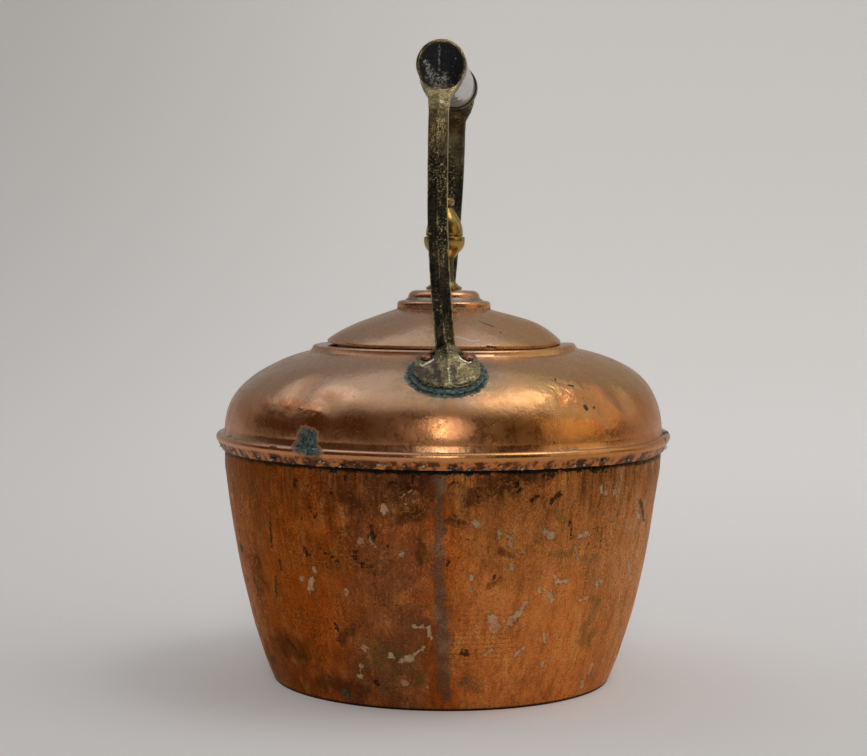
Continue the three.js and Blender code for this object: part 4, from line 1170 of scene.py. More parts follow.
WALL_ROUGH = (
    (488, 520, 520, 560, 22.0), (520, 510, 590, 550, 24.0), (350, 545, 380, 560, 12.0),
    (300, 548, 340, 560, 10.0), (394, 495, 420, 505, 10.0), (600, 490, 628, 600, 16.0),
    (456, 490, 462, 520, 6.0), (240, 500, 262, 640, 6.0),
)
WALL_GREEN = (
    (343, 690, 349, 698, 2.0), (241, 545, 242, 551, 1.4),
)
SEAM_PLACES = (
    (440, 472), (439, 500), (438, 520), (437, 548), (438, 575), (440, 600), (441, 625), (443, 655),
    (445, 695),
)
SEAM_HALF_WIDTH = 6.2
SHOULDER_GREEN = (
    (305, 433, 303, 445, 6.0), (312, 434, 312, 446, 5.0), (299, 447, 315, 452, 5.5),
    (281, 357, 300, 350, 2.4), (540, 450, 577, 449, 1.1), (600, 446, 640, 441, 1.0),
    (520, 449, 528, 450, 1.0), (655, 436, 668, 432, 1.4),
)
SHOULDER_DARK = (
    (420, 450, 424, 451, 1.6), (585, 406, 587, 409, 1.8), (594, 407, 594, 408, 1.4),
    (568, 385, 573, 386, 1.0), (554, 442, 555, 443, 1.0), (289, 404, 292, 406, 0.6),
    (298, 408, 303, 410, 0.7), (309, 411, 313, 412, 0.6), (270, 447, 276, 447, 0.9),
    (387, 389, 396, 396, 0.5), (555, 379, 556, 380, 1.0), (520, 443, 521, 444, 0.9),
)
SHOULDER_BROWN = (
    (312, 418, 313, 427, 4.2), (266, 402, 270, 401, 3.4), (286, 404, 316, 411, 5.5),
    (584, 398, 640, 440, 20.0), (592, 418, 597, 418, 4.4), (640, 400, 655, 430, 8.0),
)
SHOULDER_ROUGH = (
    (288, 405, 316, 411, 7.0), (562, 392, 610, 418, 16.0), (262, 398, 272, 404, 5.0),
)
DISH_FROST = (
    (431, 74, 436, 84, 4.2), (445, 76, 442, 84, 3.4), (439, 45, 439, 84, 0.9), (426, 62, 430, 74, 2.0),
)
FOOT_CREAM = (
    (420, 364, 422, 366, 0.6), (422, 366, 433, 360, 0.75), (433, 360, 434, 358, 0.5),
    (459, 356, 461, 359, 0.6), (461, 359, 469, 363, 0.75), (469, 363, 471, 362, 0.5),
    (448, 368, 450, 385, 0.35),
)
# Purple-black stains; the last five strokes, from (414, 376) on, are a painted shadow along the foot's lower
# rim.
FOOT_STAINS_AND_SHADOW = (
    (418, 369, 430, 378, 5.5), (434, 366, 440, 382, 4.0), (423, 352, 428, 354, 2.0),
    (452, 366, 456, 384, 2.5), (432, 335, 432, 345, 2.5), (414, 376, 424, 383, 0.9),
    (424, 383, 440, 387, 1.0), (440, 387, 458, 386, 1.0), (458, 386, 472, 381, 1.0),
    (472, 381, 479, 374, 0.9),
)
LID_PALE = (
    (454, 336, 466, 339, 0.55), (466, 339, 472, 341, 0.6), (472, 341, 480, 340, 0.5),
)
LID_DARK = (
    (478, 321, 494, 327, 0.45), (487, 347, 491, 347, 1.6), (500, 332, 501, 333, 0.6),
    (481, 334, 482, 335, 0.6),
)

# Random marks on the sides that the photograph hides: seed, count, lowest, highest, smallest, largest
WALL_MARKS = (
    ("pale", WALL_PALE, (3, 60, 8, 96, 0.8, 2.4)), ("dark", WALL_DARK, (5, 70, 8, 100, 0.6, 1.9)),
    ("brown", WALL_BROWN, (7, 24, 8, 98, 3.0, 9.0)), ("olive", WALL_OLIVE, (9, 10, 8, 70, 2.0, 6.0)),
    ("rough", WALL_ROUGH, (11, 14, 8, 90, 6.0, 14.0)), ("green", WALL_GREEN, (13, 10, 8, 102, 0.8, 1.6)),
)
LID_SPOTS = (31, 8, 152, 170, 0.3, 0.6)

# Knocks in the wall: angle from the front in degrees, then height, radius and depth in millimetres
WALL_KNOCKS = (
    (18, 62, 26, 0.5), (-24, 48, 30, 0.45), (38, 30, 22, 0.6), (62, 55, 30, 0.9), (-62, 70, 34, 0.7),
    (-48, 22, 24, 0.5), (8, 84, 18, -0.25), (80, 80, 24, 0.6), (130, 50, 40, 0.9), (-120, 40, 36, 0.8),
    (-150, 78, 30, 0.5), (100, 22, 26, 0.6), (48, 76, 16, 0.5), (30, 70, 12, 0.4),
)

# Places where the old sheets are pressed out of shape: centre, radius and shift in millimetres
SHOULDER_PRESSES = (
    ((84, -8, 136), 58, (0.4, 0, 2.9)), ((-84, -8, 136), 58, (0.2, 0, -0.4)),
    ((-60, -66, 128), 16, (0.5, 0.6, -0.9)), ((-46, -76, 126), 12, (0.3, 0.5, -0.5)),
    ((62, -68, 128), 13, (-0.5, 0.6, -0.8)), ((74, -56, 130), 11, (-0.6, 0.4, -0.7)),
    ((66, -66, 122), 9, (-0.5, 0.5, -0.2)), ((50, -78, 130), 14, (-0.2, 0.5, -0.5)),
    ((20, -86, 133), 20, (0, 0.2, -0.5)), ((-24, -84, 134), 22, (0, 0.2, -0.4)),
    ((80, 50, 128), 24, (-0.8, -0.4, -0.6)), ((-70, 64, 126), 22, (0.7, -0.6, -0.4)),
    ((-92, 10, 126), 18, (0.7, 0, -0.3)), ((94, -6, 124), 18, (-0.6, 0, 0)),
)
LID_PRESSES = (
    ((-51, -12, 151), 34, (0, 0, 0.9)), ((42, -6, 157), 24, (0.6, 0, 2.0)),
    ((30, -30, 160), 22, (0, 0, -0.5)), ((-28, -30, 161), 20, (0, 0, -0.35)),
    ((19, -48.5, 151), 3, (0, 0.5, 0.3)),
)

# How many faces go round each turned piece
WALL_SEGMENTS = 560
LID_SEGMENTS = 420
SKIRT_SEGMENTS = 240
ENVELOPE_SEGMENTS = 180
FINIAL_SEGMENTS = 120
GRIP_SEGMENTS = 96
SPOUT_SEGMENTS = 72

# Heights under which the lid's two creases hold green, in millimetres
LOWER_CREASE = 166.2
UPPER_CREASE = 170.6

# Spout, in millimetres: its wall's reach, and control points of its route as reach past the wall and height
SPOUT_WALL = 88.2
SPOUT_ROUTE = ((-24, 40), (48.4, 52), (26.4, 138), (68.4, 156))
SPOUT_ROOT_HEIGHT = 24
SPOUT_ROOT_WIDTH = 19
SPOUT_MOUTH = 9.2
SPOUT_LIP = 0.8
SPOUT_TAPER = 1.9
SPOUT_FLANGE = 4.5
SPOUT_FLANGE_SHARE = 0.42
SPOUT_SHEET = 1.0

# Solder beads along the fold: how many, and how many of them gather near the front
BEADS = 52
FRONT_BEADS = 24

# Handle, in millimetres: distance of a disc's middle from the grip's middle, and radius of its dish
DISC_DISTANCE = 54
DISH_RADIUS = 9.6

# Lamps: name, place and target in metres, width and height in metres, power in watts, colour
LAMPS = (
    ("right skylight", (0.75, -0.06, 1.7), (0.0, 0.0, 0.1), (0.75, 0.6), 3.2, (1.0, 0.98, 0.96)),
    ("left skylight", (-0.85, 0.3, 1.65), (0.0, 0.0, 0.1), (0.6, 0.5), 0.4, (1.0, 0.98, 0.98)),
    ("tall window", (-0.02, -2.3, 1.2), (0.0, 0.0, 0.3), (0.34, 1.5), 8.0, (1.0, 0.98, 0.96)),
    ("right fill", (2.1, -0.7, 0.8), (0.0, 0.0, 0.1), (1.4, 1.2), 3.5, (1.0, 0.76, 0.48)),
)


# Operators: one for each piece or group of like pieces, and one for the stage

class KETTLE_OT_stage(bpy.types.Operator):
    """Sets up the camera, the floor with its backdrop, the lamps and the world"""

    bl_idname = "kettle.stage"
    bl_label = "Stage"

    def execute(self, context):
        self.add_camera(context, context.scene.kettle_stage)
        self.add_sweep(context.scene.kettle_colours)
        for lamp in LAMPS:
            self.add_lamp(*lamp)
        self.add_world(context)
        return {"FINISHED"}

    def add_camera(self, context, stage):
        """Camera at the photograph's viewing angle."""
        data = bpy.data.cameras.new("photo camera")
        data.sensor_fit = "HORIZONTAL"
        data.sensor_width = 36.0
        data.lens = stage.focal_length / PHOTO_WIDTH * data.sensor_width
        data.clip_end = 20.0
        camera = bpy.data.objects.new("photo camera", data)
        context.scene.collection.objects.link(camera)
        yaw = stage.azimuth + math.atan((stage.axis_column - PHOTO_WIDTH / 2) / stage.focal_length)
        place = Vector((math.sin(stage.azimuth) * stage.distance, -math.cos(stage.azimuth) * stage.distance,
                        stage.height))
        turn = (Matrix.Rotation(yaw, 4, "Z") @ Matrix.Rotation(math.pi / 2 - stage.pitch, 4, "X")
                @ Matrix.Rotation(stage.roll, 4, "Z"))
        camera.matrix_world = Matrix.Translation(place) @ turn
        context.scene.camera = camera
        context.view_layer.update()

    def add_sweep(self, colours):
        """Floor that rises into a backdrop in one curve."""
        front, back, bend, top = -3000.0, 2200.0, 1500.0, 2900.0
        line = [(front, 0.0), *arc((back - bend, bend), bend, -90, 0, 32), (back, top)]
        half_width = 3.2
        sweep = drawn("backdrop_sweep", line)
        sweep.rotation_euler = (0.0, 0.0, math.pi / 2)
        sweep.location = (-half_width, 0.0, 0.0)
        pick(sweep)
        bpy.ops.object.transform_apply(location=True, rotation=True, scale=True)
        edit_whole(sweep)
        bpy.ops.mesh.extrude_region_move(TRANSFORM_OT_translate={"value": (2 * half_width, 0.0, 0.0)})
        bpy.ops.mesh.select_all(action="SELECT")
        bpy.ops.mesh.normals_make_consistent(inside=False)
        bpy.ops.object.mode_set(mode="OBJECT")
        bpy.ops.object.shade_smooth()
        sweep.data.materials.append(self.paper(colours))

    def paper(self, colours):
        """Pale paper that glows to the camera, more so far back and on the right."""
        paper = Finish("backdrop_paper")
        sideways, back = paper.xyz()[:2]
        path = paper.put("ShaderNodeLightPath", {})
        seen = paper.larger(path["Is Camera Ray"], paper.times(path["Is Glossy Ray"], 0.5))
        glow = paper.times(paper.mix(paper.fade(back, -0.6, 1.1), 0.09, 0.385),
                           paper.mix(paper.fade(sideways, -0.7, 0.15), 0.52, 1.0))
        paper.fill(paper.shader, {
            "Base Color": colours.floor, "Roughness": 0.9, "Specular IOR Level": 0.1,
            "Emission Color": colours.floor, "Emission Strength": paper.times(seen, glow)})
        return paper.material

    def add_lamp(self, name, place, target, size, power, colour):
        """A soft rectangular lamp aimed at a point."""
        data = bpy.data.lights.new(name, "AREA")
        data.shape = "RECTANGLE"
        data.size, data.size_y = size
        data.energy = power
        data.color = colour
        lamp = bpy.data.objects.new(name, data)
        bpy.context.scene.collection.objects.link(lamp)
        lamp.location = place
        lamp.rotation_euler = (Vector(target) - Vector(place)).to_track_quat("-Z", "Y").to_euler()

    def add_world(self, context):
        """Even light from all round, dimmer low in front as in a darkened room."""
        world = bpy.data.worlds.new("studio")
        context.scene.world = world
        world.use_nodes = True
        sky = Steps(world.node_tree)
        sky.vector = sky.put("ShaderNodeTexCoord", {})["Generated"]
        right, back, up = sky.xyz()
        lean = sky.plus(sky.plus(sky.times(up, 1.15), sky.times(back, 0.8)), sky.times(right, 0.2))
        colour = sky.blend(sky.fade(lean, 0.3, 0.95), DARK_ROOM, SKYLIGHT)
        seen = sky.put("ShaderNodeLightPath", {})["Is Camera Ray"]
        sky.fill(sky.tree.nodes["Background"], {"Color": sky.blend(seen, colour, FAR_WALL)})
        context.scene.view_settings.view_transform = "Standard"


class KETTLE_OT_lower_body(bpy.types.Operator):
    """Turns the lower wall, knocks it about a little and paints its marks"""

    bl_idname = "kettle.lower_body"
    bl_label = "Lower body"

    def execute(self, context):
        body = millimetres(context.scene.kettle_body)
        outline = sheet_outline(self.wall_line(body), body.sheet, keep_every=5)
        wall = turned("body_wall", outline, WALL_SEGMENTS)
        for knocked in WALL_KNOCKS:
            knock(wall, *knocked)
        height = places_of(wall)[:, 2] / MM
        free = ramp(height, 2, 6) * ramp(height, 99, -6)
        roughen(wall, 26.0, 0.5, free)
        roughen(wall, 7.0, 0.16, free, seed=1.0)
        for name, strokes, scatter in WALL_MARKS:
            paint(wall, name, strokes, scatter_on_wall(wall, *scatter))
        paint(wall, "seam", [(*a, *b, SEAM_HALF_WIDTH) for a, b in zip(SEAM_PLACES, SEAM_PLACES[1:])])
        set_attribute(wall, "inside", inner_faces(wall, 0.06))
        finish_piece(wall, "kettle", "wall_copper", ["lower_body"])
        dress(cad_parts["base_plate"], "base_copper")
        return {"FINISHED"}

    def wall_line(self, body):
        """Outer line of the wall and its flange."""
        wall = curve(((body.base_radius, 0), (body.belly_radius, body.belly_height),
                      (body.wall_radius, body.wall_height)), 96)
        tip = Vector((body.fold_radius, body.fold_height))
        along = (Vector(bead_line(body)[0]) - tip).normalized()
        start = tip + Vector((-along.y, along.x)) * (body.sheet + 0.3)
        rise = straight(wall[-1], tuple(start), 12)
        return [*wall, *rise[1:], tuple(start + along * body.flange)]


class KETTLE_OT_shoulder(bpy.types.Operator):
    """Turns the squashed shoulder with its folded seam and mouth, and dents it"""

    bl_idname = "kettle.shoulder"
    bl_label = "Shoulder"

    def execute(self, context):
        body = millimetres(context.scene.kettle_body)
        outline = sheet_outline(self.shoulder_line(body), body.sheet, keep_every=3)
        shoulder = turned("shoulder_shell", outline, WALL_SEGMENTS)
        for pressed in SHOULDER_PRESSES:
            press(shoulder, *pressed)
        height, reach = heights_and_reaches(shoulder)
        crown = ramp(height, 112, 4) * ramp(reach, 60, 5)
        roughen(shoulder, 30.0, 0.55, crown)
        roughen(shoulder, 9.0, 0.12, crown, seed=2.0)
        fold = ramp(height, 107.4, -1.2) * (reach > 98.5)
        roughen(shoulder, 3.2, 0.7, fold, seed=3.0, level=0.8)
        roughen(shoulder, 14.0, 0.4, ridge(height, 109, 3.2) * (reach > 99), seed=4.0, level=0.9)
        for name, strokes, scatter in (
                ("dark", SHOULDER_DARK, (21, 24, 113, 146, 0.5, 1.2)),
                ("brown", SHOULDER_BROWN, (23, 10, 113, 140, 3.0, 12.0)),
                ("green", SHOULDER_GREEN, (27, 14, body.fold_height, body.bead_height + 3, 0.8, 1.8)),
                ("rough", SHOULDER_ROUGH, (25, 5, 116, 140, 4.0, 10.0))):
            paint(shoulder, name, strokes, scatter_on_wall(shoulder, *scatter))
        self.add_foot_crust(shoulder)
        set_nothing(shoulder, "pale")
        set_attribute(shoulder, "fold", fold)
        # Upward faces, which take the painted sheen.
        set_attribute(shoulder, "top", upward_faces(shoulder))
        set_attribute(shoulder, "inside", inner_faces(shoulder, 0.09) * (reach < 97.5))
        finish_piece(shoulder, "kettle", "shoulder_copper", ["shoulder"])
        self.add_solder(context, body)
        return {"FINISHED"}

    def shoulder_line(self, body):
        """Outer line of the shoulder, from the tip of its fold to the lower edge of its neck."""
        bead = bead_line(body)
        crown = curve(((body.shoulder_radius, body.shoulder_height),
                       (body.shoulder_radius - 0.4, body.turn_height),
                       (body.crown_radius, body.crown_height),
                       (body.ring_radius + body.ring_bead + 1, body.ring_height - body.ring_bead * 0.8)), 66)
        ring = arc((body.ring_radius, body.ring_height), body.ring_bead, 10, 120, 8)
        neck = arc((body.neck_radius + body.neck_corner, body.ledge_height - body.neck_corner),
                   body.neck_corner, 90, 180, 6)
        bottom = (body.neck_radius, body.ledge_height - body.neck_depth)
        return [*straight((body.fold_radius, body.fold_height), bead[0], 6), *bead[1:], *crown, *ring,
                (body.ring_radius - body.ring_bead - 1, body.ledge_height), *neck, bottom]

    def add_foot_crust(self, shoulder):
        """Green crust on the shoulder close round both feet of the handle, and a green haze further out."""
        places = places_of(shoulder)
        green = shoulder.data.attributes["green"].data
        field = np.empty(len(places), np.float32)
        green.foreach_get("value", field)
        halo = np.zeros(len(places))
        for node in ("rear_foot_pad", "front_foot_pad"):
            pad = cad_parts[node]
            faces = [tuple(face.vertices) for face in pad.data.polygons]
            surface = BVHTree.FromPolygons(places_of(pad).tolist(), faces)
            low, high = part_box(node)
            from_middle = np.hypot(*(places[:, :2] - np.array((low + high) / 2)[:2]).T)
            near = np.nonzero(from_middle < high.x + 8 * MM)[0]
            distance = np.array([surface.find_nearest(place)[3] for place in places[near].tolist()])
            field[near] = np.maximum(field[near], np.clip(1 - 0.5 * distance / (1.5 * MM), 0, 1))
            halo[near] = np.clip(1 - distance / (9 * MM), 0, 1)
        green.foreach_set("value", field)
        set_attribute(shoulder, "halo", halo)

    def add_solder(self, context, body):
        """Beads of solder that stand out of the fold."""
        rng = random.Random(41)
        begin()
        beads = []
        for step in range(BEADS):
            degrees = rng.gauss(-12, 26) if step < FRONT_BEADS else rng.uniform(-180, 180)
            angle = math.radians(degrees) - math.pi / 2
            height = body.fold_height + rng.uniform(0.4, 2.6)
            reach = body.fold_radius + 0.1 + (height - body.fold_height) * 0.5
            place = Vector((reach * math.cos(angle), reach * math.sin(angle), height)) * MM
            radius = rng.uniform(0.35, 0.95) * MM
            bpy.ops.mesh.primitive_ico_sphere_add(subdivisions=2, radius=radius, location=place)
            bead = context.object
            bead.scale = (1.0, 1.0, rng.uniform(0.6, 1.0))
            beads.append(bead)
        solder = joined("solder_beads", beads)
        finish_piece(solder, "kettle", "bright_solder")


class KETTLE_OT_spout(bpy.types.Operator):
    """Builds the gooseneck spout from rings and brazes its flange to the wall"""

    bl_idname = "kettle.spout"
    bl_label = "Spout"

    def execute(self, context):
        body = millimetres(context.scene.kettle_body)
        tube = self.ring_tube("spout_tube", 0.0, 1.0, 44, 0.0)
        flange = self.ring_tube("spout_flange", 0.0, SPOUT_FLANGE_SHARE, 16, SPOUT_FLANGE)
        self.cut(flange, self.envelope(body, 1.3), "INTERSECT")
        self.cut(tube, flange, "UNION")
        self.cut(tube, self.ring_tube("spout_bore", -0.02, 1.04, 46, -SPOUT_SHEET), "DIFFERENCE")
        self.cut(tube, self.envelope(body, 0.3), "DIFFERENCE")
        apply_modifier(tube, "REMESH", mode="VOXEL", voxel_size=0.62 * MM)
        apply_modifier(tube, "SMOOTH", factor=0.5, iterations=5)
        roughen(tube, 18.0, 0.3)
        set_nothing(tube, "pale", "dark", "brown", "olive", "rough", "green", "seam", "inside")
        finish_piece(tube, "kettle", "wall_copper", ["spout"])
        return {"FINISHED"}

    def route(self, share):
        """Place and direction of the spout's centre line."""
        controls = [Vector((SPOUT_WALL + reach, height)) for reach, height in SPOUT_ROUTE]
        ahead = bezier_point(controls, min(within(share) + 0.001, 1.0))
        behind = bezier_point(controls, max(within(share) - 0.001, 0.0))
        return bezier_point(controls, share), (ahead - behind).normalized()

    def ring_tube(self, name, start, end, steps, growth):
        """A closed solid through elliptical rings along the spout."""
        begin()
        rings = []
        for step in range(steps + 1):
            share = start + (end - start) * step / steps
            place, along = self.route(share)
            taper = 1 - (1 - within(share)) ** SPOUT_TAPER
            lip = SPOUT_LIP * smooth_share(share, 0.94, 1.0)
            half_height = SPOUT_ROOT_HEIGHT + (SPOUT_MOUTH - SPOUT_ROOT_HEIGHT) * taper + lip + growth
            half_width = SPOUT_ROOT_WIDTH + (SPOUT_MOUTH - SPOUT_ROOT_WIDTH) * taper + lip + growth
            bpy.ops.mesh.primitive_circle_add(
                vertices=SPOUT_SEGMENTS, radius=1.0, location=(0.0, place.x * MM, place.y * MM),
                rotation=(math.atan2(along.y, along.x) - math.pi / 2, 0.0, 0.0))
            ring = bpy.context.object
            ring.scale = (half_width * MM, half_height * MM, 1.0)
            rings.append(ring)
        tube = joined(name, rings)
        bpy.ops.object.transform_apply(location=True, rotation=True, scale=True)
        edit_whole(tube)
        bpy.ops.mesh.bridge_edge_loops()
        bpy.ops.mesh.select_all(action="SELECT")
        bpy.ops.mesh.region_to_loop()
        bpy.ops.mesh.edge_face_add()
        bpy.ops.mesh.select_all(action="SELECT")
        bpy.ops.mesh.normals_make_consistent(inside=False)
        bpy.ops.object.mode_set(mode="OBJECT")
        return tube

    def envelope(self, body, gap):
        """The space that the wall fills, grown by a gap."""
        line = curve(((body.base_radius + gap, -3), (body.belly_radius + gap, body.belly_height),
                      (body.wall_radius + gap, body.wall_height),
                      (body.fold_radius + gap, body.bead_height)), 60)
        return turned("envelope", [(0.0, -3.0), *line, (0.0, line[-1][1])], ENVELOPE_SEGMENTS)

    def cut(self, piece, other, operation):
        """Joins or cuts a piece with another one, which is used up."""
        apply_modifier(piece, "BOOLEAN", object=other, operation=operation, solver="EXACT")
        bpy.data.objects.remove(other)


class KETTLE_OT_lid(bpy.types.Operator):
    """Turns the lid, its skirt and the acorn finial, and warps the old lid a little"""

    bl_idname = "kettle.lid"
    bl_label = "Lid"

    def execute(self, context):
        lid = millimetres(context.scene.kettle_lid)
        dome = turned("lid_shell", sheet_outline(self.lid_line(lid), lid.sheet, keep_every=2), LID_SEGMENTS)
        for pressed in LID_PRESSES:
            press(dome, *pressed)
        height, reach = heights_and_reaches(dome)
        roughen(dome, 20.0, 0.35, ramp(reach, 23, 4) * ramp(reach, 51, -5))
        paint(dome, "pale", LID_PALE)
        paint(dome, "dark", LID_DARK, scatter_on_wall(dome, *LID_SPOTS))
        crease = np.maximum(ridge(reach, lid.boss_radius + 0.2, 0.9) * (height < LOWER_CREASE),
                            ridge(reach, lid.boss_radius - lid.boss_ledge, 0.7) * (height < UPPER_CREASE))
        set_attribute(dome, "green", crease * 0.8)
        set_nothing(dome, "brown", "rough", "halo", "fold")
        # Upward faces, which take the painted sheen.
        set_attribute(dome, "top", upward_faces(dome))
        set_attribute(dome, "inside", inner_faces(dome, 0.10))
        finish_piece(dome, "lid", "lid_copper", ["lid_dome"])
        inner_radius = lid.skirt_radius - lid.skirt_sheet
        skirt = turned("lid_collar", [
            (lid.skirt_radius, SKIRT_LOW.z), (lid.skirt_radius, SKIRT_HIGH.z), (inner_radius, SKIRT_HIGH.z),
            (inner_radius, SKIRT_LOW.z), (lid.skirt_radius, SKIRT_LOW.z)], SKIRT_SEGMENTS)
        finish_piece(skirt, "lid", "tinned_copper", ["lid_skirt"])
        self.add_finial(lid)
        return {"FINISHED"}

    def lid_line(self, lid):
        """Outer line of the lid from its rim to the hole for the finial."""
        rim_top = lid.rim_bottom + lid.rim_depth
        boss_foot = rim_top + lid.boss_foot_rise
        step_top = boss_foot + lid.boss_step
        dome = curve(((lid.rim_radius, rim_top),
                      (lid.rim_radius - lid.crown_inset, rim_top + lid.crown_rise),
                      (lid.boss_radius, boss_foot)), 54)
        rounding = lid.boss_rounding
        step = arc((lid.boss_radius - rounding, step_top - rounding), rounding, 0, 80, 8)
        top_radius = lid.boss_radius - lid.boss_ledge
        top = arc((top_radius - 2 * rounding, lid.boss_top - 2 * rounding), 2 * rounding, 20, 90, 10)
        return [*straight((lid.rim_radius - 0.4, lid.rim_bottom), (lid.rim_radius, lid.rim_bottom + 0.4), 2),
                *dome, *step, (top_radius, step_top + lid.boss_slope), *top,
                *straight((top_radius - 3 * rounding, lid.boss_top),
                          (lid.tang_radius + 0.25, lid.boss_top), 4)]

    def add_finial(self, lid):
        """Acorn finial with its cup, nut, knob and riveted tang."""
        foot = lid.boss_top + 0.3
        cup_foot = foot + 15
        cup_rim = cup_foot + 9.2
        nut_top = cup_rim + 13
        waist = lid.knob_radius - 1.26
        spread = lid.tang_radius + 1.1
        tail = FINIAL_LOW.z
        line = [(0.0, tail), (lid.tang_radius, tail), (spread, tail + 0.7), (spread, tail + 1.4),
                (lid.tang_radius, tail + 1.4), (lid.tang_radius, foot), (lid.foot_radius - 0.4, foot),
                (lid.foot_radius, foot + 0.4),
                *curve(((lid.foot_radius, foot + 1.2), (lid.stem_radius + 0.6, foot + 2.6),
                        (lid.stem_radius, foot + 6.4)), 12),
                *curve(((lid.stem_radius, cup_foot - 3.5), (lid.stem_radius, cup_foot + 1.75),
                        (lid.cup_radius, cup_foot + 1.75), (lid.cup_radius, cup_rim - 2.2)), 16),
                *arc((lid.cup_radius - 0.5, cup_rim - 0.9), 0.5, 0, 90, 5),
                (lid.cup_radius - 1.3, cup_rim - 0.3), (lid.cup_radius - 1.5, cup_rim - 0.5),
                *curve(((lid.cup_radius - 0.9, cup_rim + 0.5), (lid.cup_radius - 0.9, cup_rim + 6.5),
                        (waist + 2.52, nut_top - 4.2), (waist, nut_top)), 26),
                *arc((lid.knob_radius - 2.0, lid.finial_tip - 2.1), 2.0, -60, 75, 12), (0.0, lid.finial_tip)]
        finial = turned("acorn_finial", line, FINIAL_SEGMENTS)
        height, reach = heights_and_reaches(finial)
        stem = np.clip(1.25 - np.abs(reach - lid.stem_radius) / 1.6, 0, 1) * (height < cup_foot + 2)
        groove = ridge(height, cup_rim + 0.2, 0.9)
        grime = np.maximum.reduce([groove, stem * 0.75, ridge(height, nut_top, 1.1)])
        set_attribute(finial, "grime", grime)
        finish_piece(finial, "lid", "polished_brass", ["finial"])
        dress(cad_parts["finial_washer"], "dull_brass")


class KETTLE_OT_brackets(bpy.types.Operator):
    """Refines the cast brackets, their solder beds and the rivets"""

    bl_idname = "kettle.brackets"
    bl_label = "Brackets"

    def execute(self, context):
        handle = millimetres(context.scene.kettle_handle)
        for end, side in (("rear", -1), ("front", 1)):
            bracket = self.fine_copy(f"{end}_bracket", f"{end}_casting", handle.casting_grain, 3)
            roughen(bracket, 5.0, 0.12, seed=5.0)
            self.paint_bracket(bracket, handle, side)
            finish_piece(bracket, "kettle", "cast_brass", [f"{end}_bracket"])
            bed = self.fine_copy(f"{end}_foot_pad", f"{end}_solder_bed", 0.3, 2)
            roughen(bed, 2.4, 0.35, seed=6.0)
            finish_piece(bed, "kettle", "green_solder", [f"{end}_foot_pad"])
            for hand in ("left", "right"):
                self.add_rivet(f"{end}_rivet_{hand}")
                dress(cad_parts[f"{end}_burr_{hand}"], "rivet_copper")
        return {"FINISHED"}

    def fine_copy(self, node, name, grain, smoothing):
        """A finely cut and softened copy of a cast piece."""
        piece = bpy.data.objects.new(name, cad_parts[node].data.copy())
        bpy.context.scene.collection.objects.link(piece)
        tidy_normals(piece)
        apply_modifier(piece, "REMESH", mode="VOXEL", voxel_size=grain * MM)
        apply_modifier(piece, "SMOOTH", factor=0.5, iterations=smoothing)
        return piece

    def paint_bracket(self, bracket, handle, side):
        """Arrises worn bright, a lighter foot and bar top, a painted highlight on faces turned to the right,
        the black dish and green spots.
        """
        near = side < 0
        across, _, up = (places_of(bracket) / MM).T
        normals = normals_of(bracket)
        set_attribute(bracket, "edge", edge_share(bracket) * (1.0 if near else 0.2))
        disc = handle.shift - math.sin(handle.turn) * DISC_DISTANCE * side
        from_axis = np.hypot(across - disc, up - handle.axis_height)
        set_attribute(bracket, "black", ramp(from_axis, DISH_RADIUS, -0.8) * (normals[:, 1] * side > 0.35))
        top = ramp(up, 228, 12) * (from_axis > 11)
        # The foot and the bar's top are made lighter; faces turned to the right get a painted highlight.
        bright = ramp(up, 150, -6) * 0.95 + top * 0.75 + ramp(normals[:, 0], 0.2, 0.5) * 0.45
        set_attribute(bracket, "bright", np.clip(bright, 0, 1) * (1.0 if near else 0.35))
        set_attribute(bracket, "green", ridge(from_axis, 14, 4) * (0.0 if near else 0.4))
        for name, strokes in (("frost", DISH_FROST), ("stain", FOOT_STAINS_AND_SHADOW), ("cream", FOOT_CREAM)):
            paint(bracket, name, strokes if near else ())

    def add_rivet(self, node):
        """A domed rivet head with its shank and spread end."""
        rivet = self.fine_copy(node, f"{node}_head", 0.22, 3)
        roughen(rivet, 1.6, 0.16, seed=7.0)
        finish_piece(rivet, "kettle", "rivet_copper", [node])


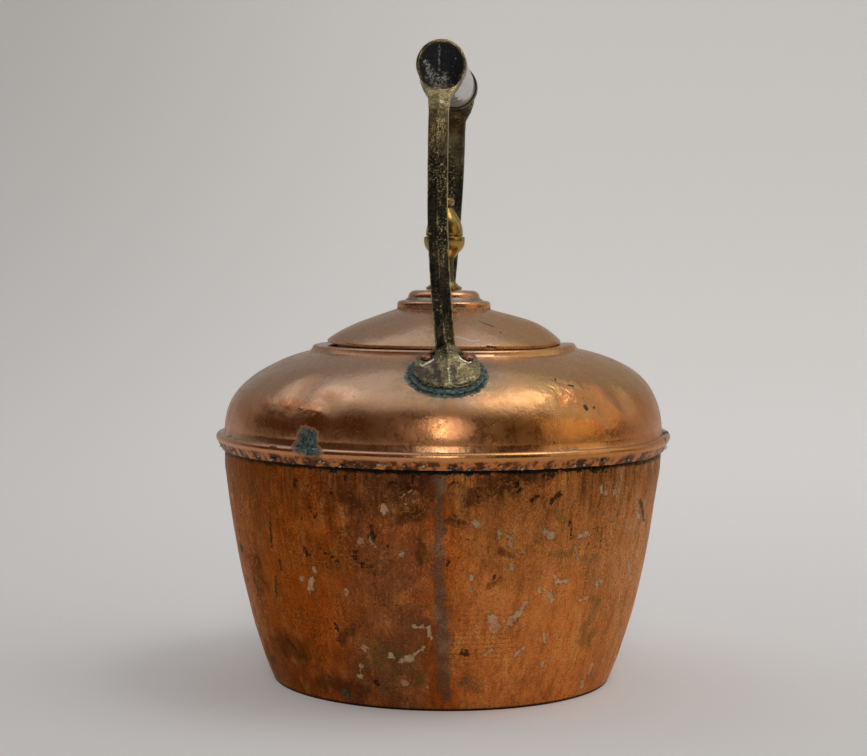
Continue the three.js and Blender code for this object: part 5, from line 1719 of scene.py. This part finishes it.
class KETTLE_OT_grip(bpy.types.Operator):
    """Turns the milk glass grip and its ferrules and lays them along the handle"""

    bl_idname = "kettle.grip"
    bl_label = "Grip"

    def execute(self, context):
        handle = millimetres(context.scene.kettle_handle)
        half = handle.grip_length / 2
        grip = turned("glass_grip", self.grip_line(handle, half), GRIP_SEGMENTS)
        roughen(grip, 24.0, 0.18)
        self.lay(grip, handle)
        finish_piece(grip, "kettle", "milk_glass", ["grip"])
        cup = self.cup_line(handle, half)
        for name, side, grime in (("front", 1, 0.9), ("rear", -1, 0.42)):
            line = [(radius, z * side) for radius, z in cup]
            ferrule = turned(f"{name}_ferrule_cup", line, GRIP_SEGMENTS)
            set_attribute(ferrule, "grime", np.full(len(ferrule.data.vertices), grime))
            self.lay(ferrule, handle)
            finish_piece(ferrule, "kettle", "polished_brass", [f"{name}_ferrule"])
        dress(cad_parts["tie_rod"], "dull_iron")
        return {"FINISHED"}

    def grip_line(self, handle, half):
        """Closed outline of the grip with its bore and rounded ends."""
        ends = arc((handle.grip_radius - 1.2, half - 1.2), 1.2, 0, 90, 8)
        swell = [(handle.grip_radius, z) for z in np.linspace(-half + 1.4, half - 1.4, 40)]
        low_end = [(radius, -z) for radius, z in reversed(ends)]
        bore = handle.grip_bore
        return [(bore, -half), *low_end, *swell, *ends, (bore, half), (bore, -half)]

    def cup_line(self, handle, half):
        """Closed outline of the ferrule at the far end, with its rolled lip."""
        inner = handle.grip_radius + 0.3
        base = half + 1.1
        rod_hole = 3.25
        return [(rod_hole, half + 0.3), (inner, half + 0.3), (inner, half - 2.7), (inner + 0.25, half - 2.8),
                (inner + 0.5, half - 2.5), (inner + 0.5, base - 0.3), (inner + 0.2, base), (rod_hole, base),
                (rod_hole, half + 0.3)]

    def lay(self, piece, handle):
        """Lays a piece that was turned about Z along the grip's axis."""
        turn = Matrix.Rotation(handle.turn, 4, "Z") @ Matrix.Rotation(-math.pi / 2, 4, "X")
        piece.matrix_world = Matrix.Translation(Vector((handle.shift, 0.0, handle.axis_height)) * MM) @ turn


class KETTLE_PT_panel(bpy.types.Panel):
    """Lists the kettle's sizes and the steps that build it"""

    bl_label = "Kettle"
    bl_idname = "KETTLE_PT_panel"
    bl_space_type = "VIEW_3D"
    bl_region_type = "UI"
    bl_category = "Kettle"

    def draw(self, context):
        layout = self.layout
        for step in STEPS:
            layout.operator(step.bl_idname)
        for pointer in POINTERS:
            settings = getattr(context.scene, pointer)
            for name in settings.__annotations__:
                layout.prop(settings, name)


STEPS = (KETTLE_OT_stage, KETTLE_OT_lower_body, KETTLE_OT_shoulder, KETTLE_OT_spout, KETTLE_OT_lid,
         KETTLE_OT_brackets, KETTLE_OT_grip)
POINTERS = {
    "kettle_body": KettleBodySizes,
    "kettle_lid": KettleLidSizes,
    "kettle_handle": KettleHandleSizes,
    "kettle_colours": KettleColours,
    "kettle_stage": KettleStage,
}


def register():
    """Registers the settings, the steps and the panel."""
    for name, settings in POINTERS.items():
        bpy.utils.register_class(settings)
        setattr(bpy.types.Scene, name, PointerProperty(type=settings))
    for step in (*STEPS, KETTLE_PT_panel):
        bpy.utils.register_class(step)


def unregister():
    """Takes them back."""
    for step in (*STEPS, KETTLE_PT_panel):
        bpy.utils.unregister_class(step)
    for name, settings in POINTERS.items():
        delattr(bpy.types.Scene, name)
        bpy.utils.unregister_class(settings)


def main():
    """Builds the kettle step by step."""
    register()
    for step in STEPS:
        area, action = step.bl_idname.split(".")
        getattr(getattr(bpy.ops, area), action)()


if __name__ == "__main__":
    main()
